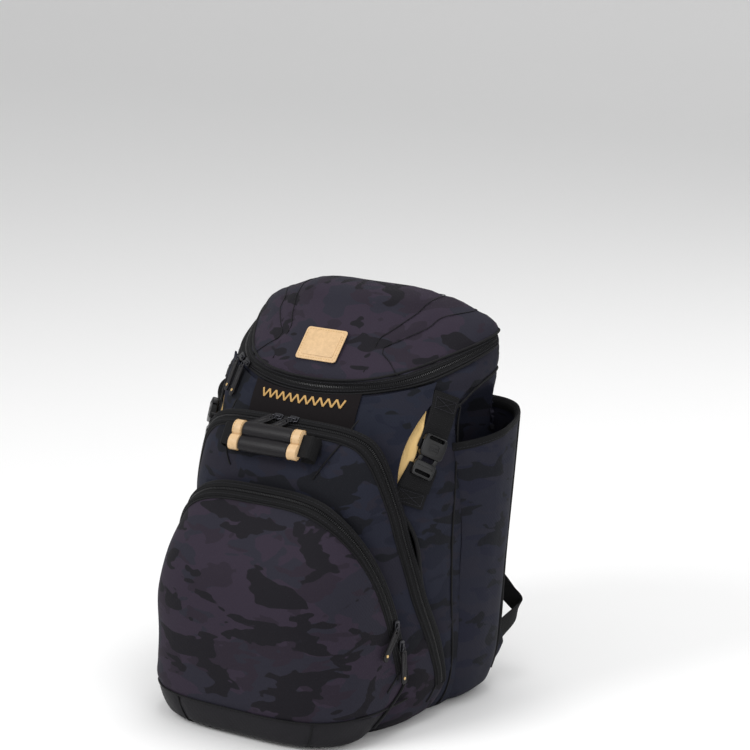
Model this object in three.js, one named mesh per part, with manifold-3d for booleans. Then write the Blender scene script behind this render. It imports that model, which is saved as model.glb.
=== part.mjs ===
// A backpack for baseball gear, with an open bat sleeve on each side. It stands on its flat base.
// +X is to the right of a person who looks at its front, -Y is the front and +Z is up.
// The shapes are set out from the front of the bag at the floor, and centred at the end.
import * as THREE from "three";
import { mergeVertices } from "three/addons/utils/BufferGeometryUtils.js";
import Module from "manifold-3d";

const wasm = await Module();
wasm.setup();

// A table's rows as objects with named columns.
const table = (names, rows) =>
  rows.map((row) => Object.fromEntries(names.map((name, i) => [name, row[i]])));

// Driving sizes of the bag in millimetres: WIDTH is without the sleeves, DEPTH without the back pad.
const HEIGHT = 488;
const WIDTH = 345;
const DEPTH = 345;

// Cloth, clearances and how finely the soft forms are faceted.
const WALL = 2.5;
const GAP = 0.3;
const SIDES = 24;
const SLEEVE_SIDES = 16;
const SEAM_STEPS = 17;
const STRIP_STEPS = 14;
const FAR = 600;

// Layers of the front, as the height of their outer face over the body's cloth.
const LAYER = { lining: 2.8, panelInside: 3.2, panel: 5.7, name: 7.2, lid: 2, tape: 3 };

// Zippers: how far the tape reaches forward of its seam, and where each one ends.
// lidBackEnd is a share of DEPTH, the other ends are shares of HEIGHT.
const ZIP = { tape: 14, lidBackEnd: 0.93, compartmentEnd: 0.088, pocketEnd: 0.155 };

// Trims of the front, in millimetres or shares of HEIGHT.
const PATCH = { half: 70, low: 0.7 };
const LINING = { hidden: 10, shown: 8 };
const BOOT = { height: 0.08, slope: 0.06 };
const BADGE = { width: 57, tall: 44, thick: 1.2, lift: 2.6, height: 0.885 };
const STRAP = { width: 25, thick: 1.6, upperEnd: 0.44, lowerStart: 0.68, path: [[0.66, 0.79], [0.46, 0.55]] };
const BUCKLE = {
  width: 30, thick: 11, socket: 27, plug: 27, plugWidth: 27, plugThick: 9, lift: 3,
  top: 0.37, joint: 0.57, bottom: 0.75,
};
const HANDLE = {
  height: 0.683, out: 24, half: 35, radius: 10, apart: 8.5, steps: 7, wrap: 13, wrapRadius: 11.2,
  strapThick: 2, strapWide: 28, strapRise: 1.6,
};
// How the webbing of the handle bends round at its ends.
const BOW = { ahead: 9, dip: 2, turn: 14, turnDip: 12, foot: 8 };

// Profiles of the straps on the back, and the corner radii of flat pieces.
const RIBBON = { round: 40, sides: 4, ringsPerRow: 3 };
const PADDED = { round: 4, sides: 10 };
const CORNER = 2;
const BIG_CORNER = 3;

const SLIDER = { width: 9, long: 13, thick: 7, lift: 1.2 };
const PULL = { width: 9.5, long: 44, thick: 2.4, below: 1 };
const SLIDERS = table(["name", "form", "place", "height", "roll", "toPlace", "toHeight", "lift"], [
  ["lid_1", "lid", { x: -0.603 }, 0.815, 78, { x: -0.638 }, 0.735, 9.5],
  ["lid_2", "lid", { x: -0.69 }, 0.82, 76, { x: -0.719 }, 0.74, 9.5],
  ["compartment_1", "compartment", { x: 0.07 }, 0.735, 90, { x: -0.151 }, 0.69, 7],
  ["compartment_2", "compartment", { x: -0.058 }, 0.735, 90, { x: -0.29 }, 0.7, 7],
  ["pocket_1", "pocket", { depth: 0.345 }, 0.275, -14, { depth: 0.25 }, 0.2, 7],
  ["pocket_2", "pocket", { depth: 0.367 }, 0.222, -10, { depth: 0.36 }, 0.14, 7],
]);
const PAD = { thick: 23, from: 0.86 };
const LOCK = {
  width: 40, tall: 26, thick: 4, slotHalf: 15, slotTall: 5, out: 0.684, behind: 34, height: 0.3252,
};
// The haul loop's path: millimetres from the middle and shares of HEIGHT.
const HAUL = {
  thick: 3, wide: 22, behind: 2,
  path: [
    [-42, 0.8504], [-44, 0.9016], [-30, 0.9467], [0, 0.9631], [30, 0.9467], [44, 0.9016], [42, 0.8504],
  ],
};

// Outline of the back pad from its lower to its upper edge: half is a share of half WIDTH.
const PAD_OUTLINE = table(["half", "height"], [
  [0, 0.18], [0.78, 0.185], [0.88, 0.23], [0.94, 0.4], [0.985, 0.56],
  [0.9, 0.68], [0.7, 0.77], [0.56, 0.83], [0, 0.84],
]);

// Rows of the straps on the back, down the right side: out as a share of half WIDTH, behind in
// millimetres behind DEPTH, height as a share of HEIGHT, width, thickness and the width's direction.
const SHOULDER_ROWS = [
  [0.29, 21, 0.8197, 56, 10, 1, 0],
  [0.336, 41, 0.7377, 64, 14, 1, 0],
  [0.429, 57, 0.6148, 66, 14, 1, 0.2],
  [0.545, 59, 0.4918, 60, 14, 1, 0.25],
  [0.649, 47, 0.3893, 42, 12, 1, 0.2],
  [0.684, 39, 0.3525, 34, 8, 1, 0],
];
const WEBBING_ROWS = [
  [0.684, 32.6, 0.3402, 25, 1.8, 1, 0],
  [0.707, 32.4, 0.2828, 25, 1.8, 1, 0.2],
  [0.823, 45, 0.2049, 25, 1.8, 0.8, 0.7],
  [0.928, 43, 0.1639, 25, 1.8, 0.3, 1],
  [0.922, 2, 0.1311, 25, 1.8, 0, 1],
];
const WING_ROWS = [
  [0.928, -27, 0.1107, 56, 3, 0, 1],
  [0.925, -11, 0.1168, 46, 3, 0, 1],
  [0.922, 7, 0.127, 30, 3, 0, 1],
];
const WING_END = 4;

// Materials as sRGB colours.
const CLOTH = {
  mauve: { color: 0x4f464d, roughness: 0.85, metalness: 0 },
  navy: { color: 0x2c3044, roughness: 0.85, metalness: 0 },
  black: { color: 0x17171a, roughness: 0.8, metalness: 0 },
  leather: { color: 0x1b1a1b, roughness: 0.5, metalness: 0 },
  gold: { color: 0xd8b877, roughness: 0.45, metalness: 0 },
  plastic: { color: 0x151517, roughness: 0.4, metalness: 0 },
  metal: { color: 0x2a2a2c, roughness: 0.35, metalness: 0.8 },
};

// Plan sections of a soft form from the floor up. height is a share of HEIGHT, half of half WIDTH.
// front, wide and back are shares of DEPTH: where a section begins, is widest, and ends.
// round is the exponent of its front corners.
const SECTION = ["height", "half", "front", "wide", "back", "round"];
const BODY_SECTIONS = table(SECTION, [
  [0.0, 0.82, 0.52, 0.7, 0.94, 3],
  [0.02, 0.88, 0.5, 0.7, 0.96, 3],
  [0.08, 0.94, 0.47, 0.7, 0.98, 2.6],
  [0.19, 0.975, 0.42, 0.69, 0.99, 2.6],
  [0.34, 0.985, 0.355, 0.67, 1.0, 2.6],
  [0.47, 1.0, 0.33, 0.65, 1.0, 2.6],
  [0.575, 0.985, 0.355, 0.675, 1.0, 2.2],
  [0.68, 0.965, 0.4, 0.71, 1.0, 2.1],
  [0.745, 0.96, 0.435, 0.74, 0.995, 2],
  [0.8, 0.97, 0.48, 0.81, 0.985, 2],
  [0.875, 0.96, 0.555, 0.91, 0.975, 1.7],
  [0.922, 0.92, 0.62, 0.935, 0.97, 1.5],
  [0.946, 0.81, 0.66, 0.935, 0.965, 1.5],
  [0.968, 0.64, 0.695, 0.925, 0.96, 1.7],
  [0.988, 0.49, 0.72, 0.89, 0.93, 2],
  [1.0, 0.36, 0.75, 0.85, 0.9, 2],
]);
const COMPARTMENT_SECTIONS = table(SECTION, [
  [0.0, 0.8, 0.18, 0.62, 0.9, 3],
  [0.03, 0.9, 0.19, 0.62, 0.9, 3.3],
  [0.09, 0.945, 0.275, 0.62, 0.9, 3.3],
  [0.139, 0.955, 0.313, 0.62, 0.9, 3.3],
  [0.363, 0.93, 0.267, 0.62, 0.9, 3.3],
  [0.467, 0.88, 0.243, 0.62, 0.9, 3.3],
  [0.537, 0.85, 0.229, 0.62, 0.9, 3.3],
  [0.635, 0.79, 0.25, 0.62, 0.9, 3.3],
  [0.678, 0.76, 0.275, 0.62, 0.9, 3.3],
  [0.707, 0.735, 0.307, 0.62, 0.9, 3.3],
  [0.742, 0.69, 0.36, 0.62, 0.9, 3.3],
  [0.762, 0.65, 0.406, 0.62, 0.9, 3.3],
]);
const POCKET_SECTIONS = table(SECTION, [
  [0.0, 0.775, 0.07, 0.49, 0.8, 3.6],
  [0.016, 0.83, 0.028, 0.49, 0.8, 3.6],
  [0.082, 0.89, 0.005, 0.49, 0.8, 3.6],
  [0.139, 0.89, 0.0, 0.49, 0.8, 3.6],
  [0.232, 0.88, 0.0, 0.49, 0.8, 3.6],
  [0.328, 0.855, 0.0, 0.49, 0.8, 3.6],
  [0.42, 0.8, 0.035, 0.49, 0.8, 3.6],
  [0.522, 0.7, 0.13, 0.49, 0.8, 3.6],
  [0.563, 0.64, 0.175, 0.49, 0.8, 3.6],
  [0.594, 0.57, 0.215, 0.49, 0.8, 3.6],
  [0.615, 0.5, 0.25, 0.49, 0.8, 3.6],
]);
const BACK_ROUND = 6;

// The bat sleeves: a hollow sunk into each side of the body, and the outer panel round it.
// side is the share of half WIDTH where a section's middle lies, reach and half share half WIDTH and DEPTH.
// frontRound and backRound are the exponents of its corners.
const SLEEVE_SECTION = ["height", "side", "reach", "depth", "half", "frontRound", "backRound"];
const HOLLOW_SECTIONS = table(SLEEVE_SECTION, [
  [0.03, 1.0, 0.16, 0.8, 0.1, 2.5, 2.5],
  [0.07, 1.0, 0.2, 0.8, 0.125, 2.5, 2.5],
  [0.3, 1.0, 0.23, 0.8, 0.13, 2.5, 2.5],
  [0.68, 1.0, 0.235, 0.8, 0.135, 2.5, 2.5],
  [0.75, 1.04, 0.2, 0.8, 0.135, 2.5, 2.5],
  [0.8, 1.1, 0.15, 0.8, 0.12, 2.5, 2.5],
]);
const SLEEVE_SECTIONS = table(SLEEVE_SECTION, [
  [0.01, 0.72, 0.18, 0.795, 0.15, 2, 3],
  [0.03, 0.72, 0.24, 0.795, 0.165, 2, 3],
  [0.12, 0.74, 0.3, 0.795, 0.175, 2, 3],
  [0.35, 0.76, 0.345, 0.795, 0.18, 1.8, 2.7],
  [0.55, 0.77, 0.385, 0.8, 0.185, 1.7, 2.7],
  [0.72, 0.77, 0.42, 0.8, 0.187, 1.6, 3],
]);
// The mouth of a sleeve rises from front to back.
const MOUTH = { front: 0.672, back: 0.735, frontDepth: 0.62, backDepth: 0.97, binding: 7, proud: 1.2 };

// Seams in side view, from the floor up: depth is a share of DEPTH and height of HEIGHT.
const SEAM = ["depth", "height"];
const POCKET_SEAM = table(SEAM, [
  [0.12, -0.03], [0.18, 0.0], [0.29, 0.07], [0.385, 0.119], [0.408, 0.143], [0.38, 0.232],
  [0.333, 0.363], [0.284, 0.461], [0.238, 0.537], [0.222, 0.574], [0.2, 0.602], [0.12, 0.635],
]);
const COMPARTMENT_SEAM = table(SEAM, [
  [0.45, -0.04], [0.52, 0.0], [0.58, 0.04], [0.612, 0.087], [0.57, 0.197], [0.493, 0.338],
  [0.455, 0.467], [0.43, 0.568], [0.405, 0.678], [0.385, 0.721], [0.34, 0.75], [0.22, 0.78],
]);
const LID_SEAM = table(SEAM, [[0.3, 0.767], [0.478, 0.812], [0.65, 0.852], [0.82, 0.885], [1.2, 0.953]]);
const SLIT_SEAM = table(SEAM, [
  [0.38, 0.5], [0.42, 0.54], [0.464, 0.588], [0.533, 0.69], [0.6, 0.78], [0.66, 0.86],
]);

// A row of a table at any height, smooth through its neighbours.
function rowAt(rows, key, value) {
  const last = rows.length - 1;
  const found = rows.findIndex((row, k) => k < last && value <= rows[k + 1][key]);
  const i = found < 0 ? last - 1 : found;
  const [a, b, c, d] = [i - 1, i, i + 1, i + 2].map((k) => rows[THREE.MathUtils.clamp(k, 0, last)]);
  const span = c[key] - b[key];
  const t = THREE.MathUtils.clamp((value - b[key]) / span, 0, 1);
  const slope = (from, to, name) => ((to[name] - from[name]) / (to[key] - from[key])) * span;
  const blended = (name) =>
    (2 * t ** 3 - 3 * t ** 2 + 1) * b[name] + (t ** 3 - 2 * t ** 2 + t) * slope(a, c, name) +
    (3 * t ** 2 - 2 * t ** 3) * c[name] + (t ** 3 - t ** 2) * slope(b, d, name);
  return Object.fromEntries(Object.keys(b).map((name) => [name, name === key ? value : blended(name)]));
}

const bent = (v, power) => Math.sign(v) * Math.abs(v) ** power;

// A soft form: a stack of rounded plan sections, which can grow or shrink by a wall.
class Form {
  constructor(rows) {
    this.rows = rows;
    this.low = rows[0].height;
    this.high = rows.at(-1).height;
    this.sides = SIDES;
  }
  lift(share, grow) {
    return share * HEIGHT + grow * (2 * ((share - this.low) / (this.high - this.low)) - 1);
  }
  section(share, grow) {
    const row = rowAt(this.rows, "height", share);
    return {
      half: (row.half * WIDTH) / 2 + grow,
      wide: row.wide * DEPTH,
      ahead: (row.wide - row.front) * DEPTH + grow,
      behind: (row.back - row.wide) * DEPTH + grow,
      round: row.round,
    };
  }
  // A point at an angle round the section: 0 is the right side and -90 degrees the middle of the front.
  at(angle, share, grow = 0) {
    const { half, wide, ahead, behind, round } = this.section(share, grow);
    const inFront = Math.sin(angle) < 0;
    const power = 2 / (inFront ? round : BACK_ROUND);
    const y = wide + (inFront ? ahead : behind) * bent(Math.sin(angle), power);
    return new THREE.Vector3(half * bent(Math.cos(angle), power), y, this.lift(share, grow));
  }
  // The angle on the right of the front half at which the section reaches a given depth.
  angleAtDepth(y, share) {
    const { wide, ahead, round } = this.section(share, 0);
    return -Math.asin(THREE.MathUtils.clamp((wide - y) / ahead, 0, 1) ** (round / 2));
  }
  normal(angle, share) {
    const turn = this.at(angle + 0.01, share).sub(this.at(angle - 0.01, share));
    const rise = this.at(angle, share + 0.005).sub(this.at(angle, share - 0.005));
    return turn.cross(rise).normalize();
  }
  solid(grow = 0) {
    const turn = (2 * Math.PI) / this.sides;
    const rings = this.rows.map((row) =>
      Array.from({ length: this.sides }, (none, i) => this.at(i * turn, row.height, grow)));
    return solidOf(loft(rings));
  }
}

// A form beside the body: each section is a rounded box round its own middle on the right side.
class SideForm extends Form {
  constructor(rows) {
    super(rows);
    this.sides = SLEEVE_SIDES;
  }
  at(angle, share, grow = 0) {
    const row = rowAt(this.rows, "height", share);
    const power = 2 / (Math.sin(angle) < 0 ? row.frontRound : row.backRound);
    const x = (row.side * WIDTH) / 2 + ((row.reach * WIDTH) / 2 + grow) * bent(Math.cos(angle), power);
    const y = row.depth * DEPTH + (row.half * DEPTH + grow) * bent(Math.sin(angle), power);
    return new THREE.Vector3(x, y, this.lift(share, grow));
  }
}

// A closed body through rings of equal count, counter-clockwise seen from the last ring's end.
function loft(rings) {
  const count = rings[0].length;
  const points = rings.flat();
  const faces = [];
  for (let r = 0; r + 1 < rings.length; r++)
    for (let i = 0; i < count; i++) {
      const a = r * count + i;
      const b = r * count + ((i + 1) % count);
      faces.push(a, b, b + count, a, b + count, a + count);
    }
  for (const [ring, start, flip] of [[rings[0], 0, true], [rings.at(-1), points.length - count, false]]) {
    const sum = ring.reduce((total, p) => total.add(p), new THREE.Vector3());
    const centre = points.push(sum.divideScalar(count)) - 1;
    for (let i = 0; i < count; i++) {
      const a = start + i;
      const b = start + ((i + 1) % count);
      faces.push(...(flip ? [b, a, centre] : [a, b, centre]));
    }
  }
  return new THREE.BufferGeometry().setFromPoints(points).setIndex(faces);
}

function solidOf(geometry) {
  const bare = geometry.clone();
  bare.deleteAttribute("normal");
  bare.deleteAttribute("uv");
  const merged = mergeVertices(bare, 1e-4);
  return new wasm.Manifold(new wasm.Mesh({
    numProp: 3,
    vertProperties: new Float32Array(merged.attributes.position.array),
    triVerts: new Uint32Array(merged.index.array),
  }));
}

function geometryOf(solid) {
  const mesh = solid.getMesh();
  const geometry = new THREE.BufferGeometry()
    .setAttribute("position", new THREE.BufferAttribute(new Float32Array(mesh.vertProperties), 3))
    .setIndex(new THREE.BufferAttribute(new Uint32Array(mesh.triVerts), 1))
    .toNonIndexed();
  geometry.computeVertexNormals();
  return geometry;
}

// A side-view outline given as points (depth, height), drawn out across the whole width.
function across(points) {
  const sideView = new THREE.Matrix4().makeBasis(
    new THREE.Vector3(0, 1, 0), new THREE.Vector3(0, 0, 1), new THREE.Vector3(1, 0, 0));
  const geometry = new THREE.ExtrudeGeometry(new THREE.Shape(points), { depth: FAR, bevelEnabled: false });
  return solidOf(geometry.translate(0, 0, -FAR / 2).applyMatrix4(sideView));
}

// A seam as a smooth side-view line, moved to one side by shift: plus is down and to the back.
function seamLine(rows, shift = 0) {
  const curve = new THREE.SplineCurve(
    rows.map((row) => new THREE.Vector2(row.depth * DEPTH, row.height * HEIGHT)));
  return Array.from({ length: SEAM_STEPS + 1 }, (none, i) => {
    const tangent = curve.getTangent(i / SEAM_STEPS);
    return curve.getPoint(i / SEAM_STEPS).add(new THREE.Vector2(tangent.y, -tangent.x).multiplyScalar(shift));
  });
}
const strip = (rows, from, to) => across([...seamLine(rows, from), ...seamLine(rows, to).reverse()]);
function inFrontOf(rows, shift = 0) {
  const line = seamLine(rows, shift);
  return across([...line, new THREE.Vector2(-FAR, line.at(-1).y), new THREE.Vector2(-FAR, line[0].y)]);
}
function underLid(shift) {
  const line = seamLine(LID_SEAM, shift);
  const corners = [[FAR, line.at(-1).y], [FAR, -FAR], [-FAR, -FAR], [-FAR, line[0].y]];
  return across([...line, ...corners.map(([y, z]) => new THREE.Vector2(y, z))]);
}
function boxOf([x0, x1], [y0, y1], [z0, z1]) {
  const box = new THREE.BoxGeometry(x1 - x0, y1 - y0, z1 - z0);
  return solidOf(box.translate((x0 + x1) / 2, (y0 + y1) / 2, (z0 + z1) / 2));
}
const EVERY = [-FAR, FAR];
const kept = (solid) => solid;
const mirrored = (solid) => solid.mirror([1, 0, 0]);
const rightHalf = () => boxOf([0, FAR], EVERY, EVERY);
const shell = (form, inside, outside) => form.solid(outside).subtract(form.solid(inside));

const pack = new THREE.Group();
function add(name, solid, material) {
  const mesh = new THREE.Mesh(geometryOf(solid), new THREE.MeshStandardMaterial({ ...material }));
  mesh.name = name;
  pack.add(mesh);
}
// A pair is built once for each side, where turn brings a right-hand solid to that side.
function addPair(name, build, material) {
  add(`${name}_right`, build(kept), material);
  add(`${name}_left`, build(mirrored), material);
}

const body = new Form(BODY_SECTIONS);
const compartment = new Form(COMPARTMENT_SECTIONS);
const pocket = new Form(POCKET_SECTIONS);
const hollow = new SideForm(HOLLOW_SECTIONS);
const sleeve = new SideForm(SLEEVE_SECTIONS);

// The main bag: a tub that is open at the top, with the two hollows for bats in its sides.
const bothHollows = (grow) => hollow.solid(grow).add(mirrored(hollow.solid(grow)));
const bodyOutside = body.solid()
  .intersect(underLid(0))
  .subtract(inFrontOf(COMPARTMENT_SEAM, GAP))
  .subtract(bothHollows(0));
const bodyInside = body.solid(-WALL)
  .subtract(inFrontOf(COMPARTMENT_SEAM, GAP + WALL))
  .subtract(bothHollows(WALL));
add("pack_body", bodyOutside.subtract(bodyInside), CLOTH.navy);

// The lid closes on a slanted seam. Its zipper runs round the front and the sides.
add("lid", shell(body, LAYER.lid - WALL, LAYER.lid).subtract(underLid(-GAP)), CLOTH.mauve);
const lidZip = shell(body, GAP, LAYER.tape).intersect(strip(LID_SEAM, GAP, ZIP.tape))
  .intersect(boxOf(EVERY, [-FAR, ZIP.lidBackEnd * DEPTH], EVERY));
add("lid_zipper", lidZip, CLOTH.black);

// The front panel stands off the body between the lid and the compartment, open at a slit on each side.
const frontArea = inFrontOf(SLIT_SEAM)
  .intersect(underLid(ZIP.tape + GAP))
  .subtract(inFrontOf(COMPARTMENT_SEAM, GAP));
add("front_panel", shell(body, LAYER.panelInside, LAYER.panel).intersect(frontArea), CLOTH.navy);
add("name_panel",
  shell(body, LAYER.panel + GAP, LAYER.name).intersect(frontArea)
    .intersect(boxOf([-PATCH.half, PATCH.half], EVERY, [PATCH.low * HEIGHT, FAR])),
  CLOTH.leather);
const lining = shell(body, GAP, LAYER.lining)
  .intersect(strip(SLIT_SEAM, -LINING.hidden, LINING.shown))
  .intersect(underLid(ZIP.tape + GAP))
  .subtract(inFrontOf(COMPARTMENT_SEAM, GAP));
addPair("lining", (turn) => lining.intersect(turn(rightHalf())), CLOTH.gold);

// The front compartment and the front pocket, both open towards the bag behind them.
const zipOn = (form, seam, from) => shell(form, GAP, LAYER.tape).intersect(strip(seam, -ZIP.tape, -GAP))
  .intersect(boxOf(EVERY, EVERY, [from * HEIGHT, FAR]));
const compartmentArea = inFrontOf(COMPARTMENT_SEAM);
add("front_compartment",
  compartment.solid().intersect(compartmentArea).subtract(compartment.solid(-WALL)), CLOTH.navy);
const compartmentZip = zipOn(compartment, COMPARTMENT_SEAM, ZIP.compartmentEnd);
add("compartment_zipper", compartmentZip.subtract(pocket.solid(LAYER.tape + GAP)), CLOTH.black);
const pocketShell = pocket.solid().intersect(inFrontOf(POCKET_SEAM))
  .subtract(pocket.solid(-WALL))
  .subtract(compartment.solid(GAP));
const bootTop = new THREE.Vector3(0, BOOT.slope, 1).normalize();
const bootHeight = BOOT.height * HEIGHT;
add("front_pocket", pocketShell.trimByPlane(bootTop.toArray(), bootHeight + GAP), CLOTH.mauve);
add("base_boot", pocketShell.trimByPlane(bootTop.clone().negate().toArray(), -bootHeight), CLOTH.black);
add("pocket_zipper", zipOn(pocket, POCKET_SEAM, ZIP.pocketEnd).subtract(compartment.solid(GAP)), CLOTH.black);

// The outer panels of the bat sleeves, with a bound edge at the mouth.
const mouthPlane = (drop) => {
  const rise = (MOUTH.back - MOUTH.front) * HEIGHT;
  const run = (MOUTH.backDepth - MOUTH.frontDepth) * DEPTH;
  const normal = new THREE.Vector3(0, -rise, run).normalize();
  const origin = new THREE.Vector3(0, MOUTH.frontDepth * DEPTH, MOUTH.front * HEIGHT);
  return { normal, offset: origin.dot(normal) - drop };
};
const underMouth = (solid, drop) => {
  const { normal, offset } = mouthPlane(drop);
  return solid.trimByPlane(normal.clone().negate().toArray(), -offset);
};
const overMouth = (solid, drop) => {
  const { normal, offset } = mouthPlane(drop);
  return solid.trimByPlane(normal.toArray(), offset);
};
const sleeveShell = underMouth(shell(sleeve, -WALL, 0), MOUTH.binding + GAP);
const binding = overMouth(underMouth(shell(sleeve, -WALL - MOUTH.proud, MOUTH.proud), 0), MOUTH.binding);
addPair("sleeve", (turn) => turn(sleeveShell).subtract(body.solid(GAP)), CLOTH.navy);
addPair("sleeve_binding", (turn) => turn(binding).subtract(body.solid(GAP)), CLOTH.black);

// A piece laid on a form: x runs along its surface, y up it and z out of it.
function laidOn(form, share, angle, lift, roll = 0) {
  const out = form.normal(angle, share);
  const up = new THREE.Vector3(0, 0, 1).projectOnPlane(out).normalize();
  const along = up.clone().cross(out);
  const spot = form.at(angle, share).addScaledVector(out, lift);
  return new THREE.Matrix4().makeBasis(along, up, out).setPosition(spot)
    .multiply(new THREE.Matrix4().makeRotationZ(THREE.MathUtils.degToRad(roll)));
}
function slab(width, height, thick, round, hole) {
  const shape = new THREE.Shape();
  const [w, h] = [width / 2, height / 2];
  shape.moveTo(-w + round, -h).lineTo(w - round, -h).quadraticCurveTo(w, -h, w, -h + round);
  shape.lineTo(w, h - round).quadraticCurveTo(w, h, w - round, h);
  shape.lineTo(-w + round, h).quadraticCurveTo(-w, h, -w, h - round);
  shape.lineTo(-w, -h + round).quadraticCurveTo(-w, -h, -w + round, -h);
  if (hole) shape.holes.push(hole);
  return new THREE.ExtrudeGeometry(shape, { depth: thick, bevelEnabled: false, curveSegments: 2 });
}
const put = (geometry, matrix) => solidOf(geometry.clone().applyMatrix4(matrix));

// The gold badge on the lid.
const badge = laidOn(body, BADGE.height, -Math.PI / 2, BADGE.lift);
add("badge", put(slab(BADGE.width, BADGE.tall, BADGE.thick, CORNER), badge), CLOTH.gold);

// Compression straps: webbing above and below a side-release buckle, over each slit.
const strapPath = table(["depth", "height"], STRAP.path);
const webbing = (from, to, inside) => {
  const line = new THREE.LineCurve(
    new THREE.Vector2(strapPath[0].depth * DEPTH, strapPath[0].height * HEIGHT),
    new THREE.Vector2(strapPath[1].depth * DEPTH, strapPath[1].height * HEIGHT));
  const side = line.getTangent(0);
  const edge = new THREE.Vector2(side.y, -side.x).multiplyScalar(STRAP.width / 2);
  const [a, b] = [line.getPoint(from), line.getPoint(to)];
  const corners = [a.clone().add(edge), b.clone().add(edge), b.clone().sub(edge), a.clone().sub(edge)];
  return shell(body, inside, inside + STRAP.thick).intersect(across(corners));
};
const beside = (solid) => solid.subtract(inFrontOf(SLIT_SEAM, GAP));
const upperStrap = beside(webbing(0, STRAP.upperEnd, LAYER.lining + GAP));
const lowerStrap = beside(webbing(STRAP.lowerStart, 1, LAYER.lining + GAP)).subtract(compartmentArea);
addPair("strap_upper", (turn) => upperStrap.intersect(turn(rightHalf())), CLOTH.black);
addPair("strap_lower", (turn) => lowerStrap.intersect(turn(rightHalf())), CLOTH.black);

// Side-release buckles over the slits, between the two webbings.
const strapSpot = (share) => ({
  depth: THREE.MathUtils.lerp(strapPath[0].depth, strapPath[1].depth, share),
  height: THREE.MathUtils.lerp(strapPath[0].height, strapPath[1].height, share),
});
const sideSpot = ({ depth, height }, form) => form.at(form.angleAtDepth(depth * DEPTH, height), height);
// A piece between two spots of the right side: y runs back up the line and z runs out of the form.
function laidAlong(form, from, to, lift) {
  const [start, end] = [sideSpot(from, form), sideSpot(to, form)];
  const up = start.clone().sub(end).normalize();
  const middle = { depth: (from.depth + to.depth) / 2, height: (from.height + to.height) / 2 };
  const out = form.normal(form.angleAtDepth(middle.depth * DEPTH, middle.height), middle.height)
    .projectOnPlane(up).normalize();
  const spot = sideSpot(middle, form).addScaledVector(out, lift);
  return new THREE.Matrix4().makeBasis(up.clone().cross(out), up, out).setPosition(spot);
}
const buckleAt = (from, to) => laidAlong(body, strapSpot(from), strapSpot(to), BUCKLE.lift);
const socketSlab = (more) => put(
  slab(BUCKLE.width + more, BUCKLE.socket + more, BUCKLE.thick + more, BIG_CORNER),
  buckleAt(BUCKLE.top, BUCKLE.joint));
const socket = socketSlab(0);
const plug = put(
  slab(BUCKLE.plugWidth, BUCKLE.plug, BUCKLE.plugThick, CORNER), buckleAt(BUCKLE.joint, BUCKLE.bottom))
  .subtract(socketSlab(2 * GAP));
const onWebbing = (solid) => solid.subtract(body.solid(LAYER.lining + STRAP.thick + 2 * GAP))
  .subtract(inFrontOf(SLIT_SEAM).intersect(body.solid(LAYER.panel + GAP)));
addPair("buckle_socket", (turn) => onWebbing(turn(socket)), CLOTH.plastic);
addPair("buckle_plug", (turn) => onWebbing(turn(plug)), CLOTH.plastic);

// The carry handle: two padded rolls side by side, wrapped at their ends, on a bowed webbing.
const handle = laidOn(compartment, HANDLE.height, -Math.PI / 2, 0);
function twinRolls(radius, from, to) {
  const start = Math.asin(HANDLE.apart / radius);
  const outline = [];
  for (const [centre, turn] of [[HANDLE.apart, 0], [-HANDLE.apart, Math.PI]])
    for (let i = 0; i <= HANDLE.steps; i++) {
      const angle = turn - start + ((Math.PI + 2 * start) * i) / HANDLE.steps;
      outline.push(new THREE.Vector2(radius * Math.cos(angle), centre + radius * Math.sin(angle)));
    }
  const geometry = new THREE.ExtrudeGeometry(
    new THREE.Shape(outline), { depth: to - from, bevelEnabled: false });
  geometry.applyMatrix4(new THREE.Matrix4().makeBasis(
    new THREE.Vector3(0, 0, 1), new THREE.Vector3(0, 1, 0), new THREE.Vector3(-1, 0, 0)));
  return geometry.translate(to, 0, HANDLE.out);
}
add("handle_grip", put(twinRolls(HANDLE.radius, -HANDLE.half, HANDLE.half), handle), CLOTH.leather);
const wrap = (from) => put(twinRolls(HANDLE.wrapRadius, from, from + HANDLE.wrap), handle);
add("grip_wrap_right", wrap(HANDLE.half + GAP), CLOTH.gold);
add("grip_wrap_left", wrap(-HANDLE.half - GAP - HANDLE.wrap), CLOTH.gold);
// A flat strip bent along points in a plane: it has the given thickness, and its width is drawn out.
function bentStrip(points, thick, wide) {
  const curve = new THREE.SplineCurve(points.map(([u, v]) => new THREE.Vector2(u, v)));
  const edge = (shift) => Array.from({ length: STRIP_STEPS + 1 }, (none, i) => {
    const tangent = curve.getTangent(i / STRIP_STEPS);
    const across = new THREE.Vector2(tangent.y, -tangent.x).multiplyScalar(shift);
    return curve.getPoint(i / STRIP_STEPS).add(across);
  });
  const shape = new THREE.Shape([...edge(thick / 2), ...edge(-thick / 2).reverse()]);
  return new THREE.ExtrudeGeometry(shape, { depth: wide, bevelEnabled: false }).translate(0, 0, -wide / 2);
}
const end = HANDLE.half + GAP + HANDLE.wrap + GAP;
const bow = [
  [end, HANDLE.out],
  [end + BOW.ahead, HANDLE.out - BOW.dip],
  [end + BOW.turn, HANDLE.out - BOW.turnDip],
  [end + BOW.foot, HANDLE.strapRise],
  [0, HANDLE.strapRise],
];
const strapBow = bentStrip([...bow, ...bow.slice(0, -1).reverse().map(([x, z]) => [-x, z])],
  HANDLE.strapThick, HANDLE.strapWide);
strapBow.applyMatrix4(new THREE.Matrix4().makeBasis(
  new THREE.Vector3(1, 0, 0), new THREE.Vector3(0, 0, 1), new THREE.Vector3(0, -1, 0)));
add("handle_strap", put(strapBow, handle).subtract(compartment.solid(GAP)), CLOTH.black);

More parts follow.
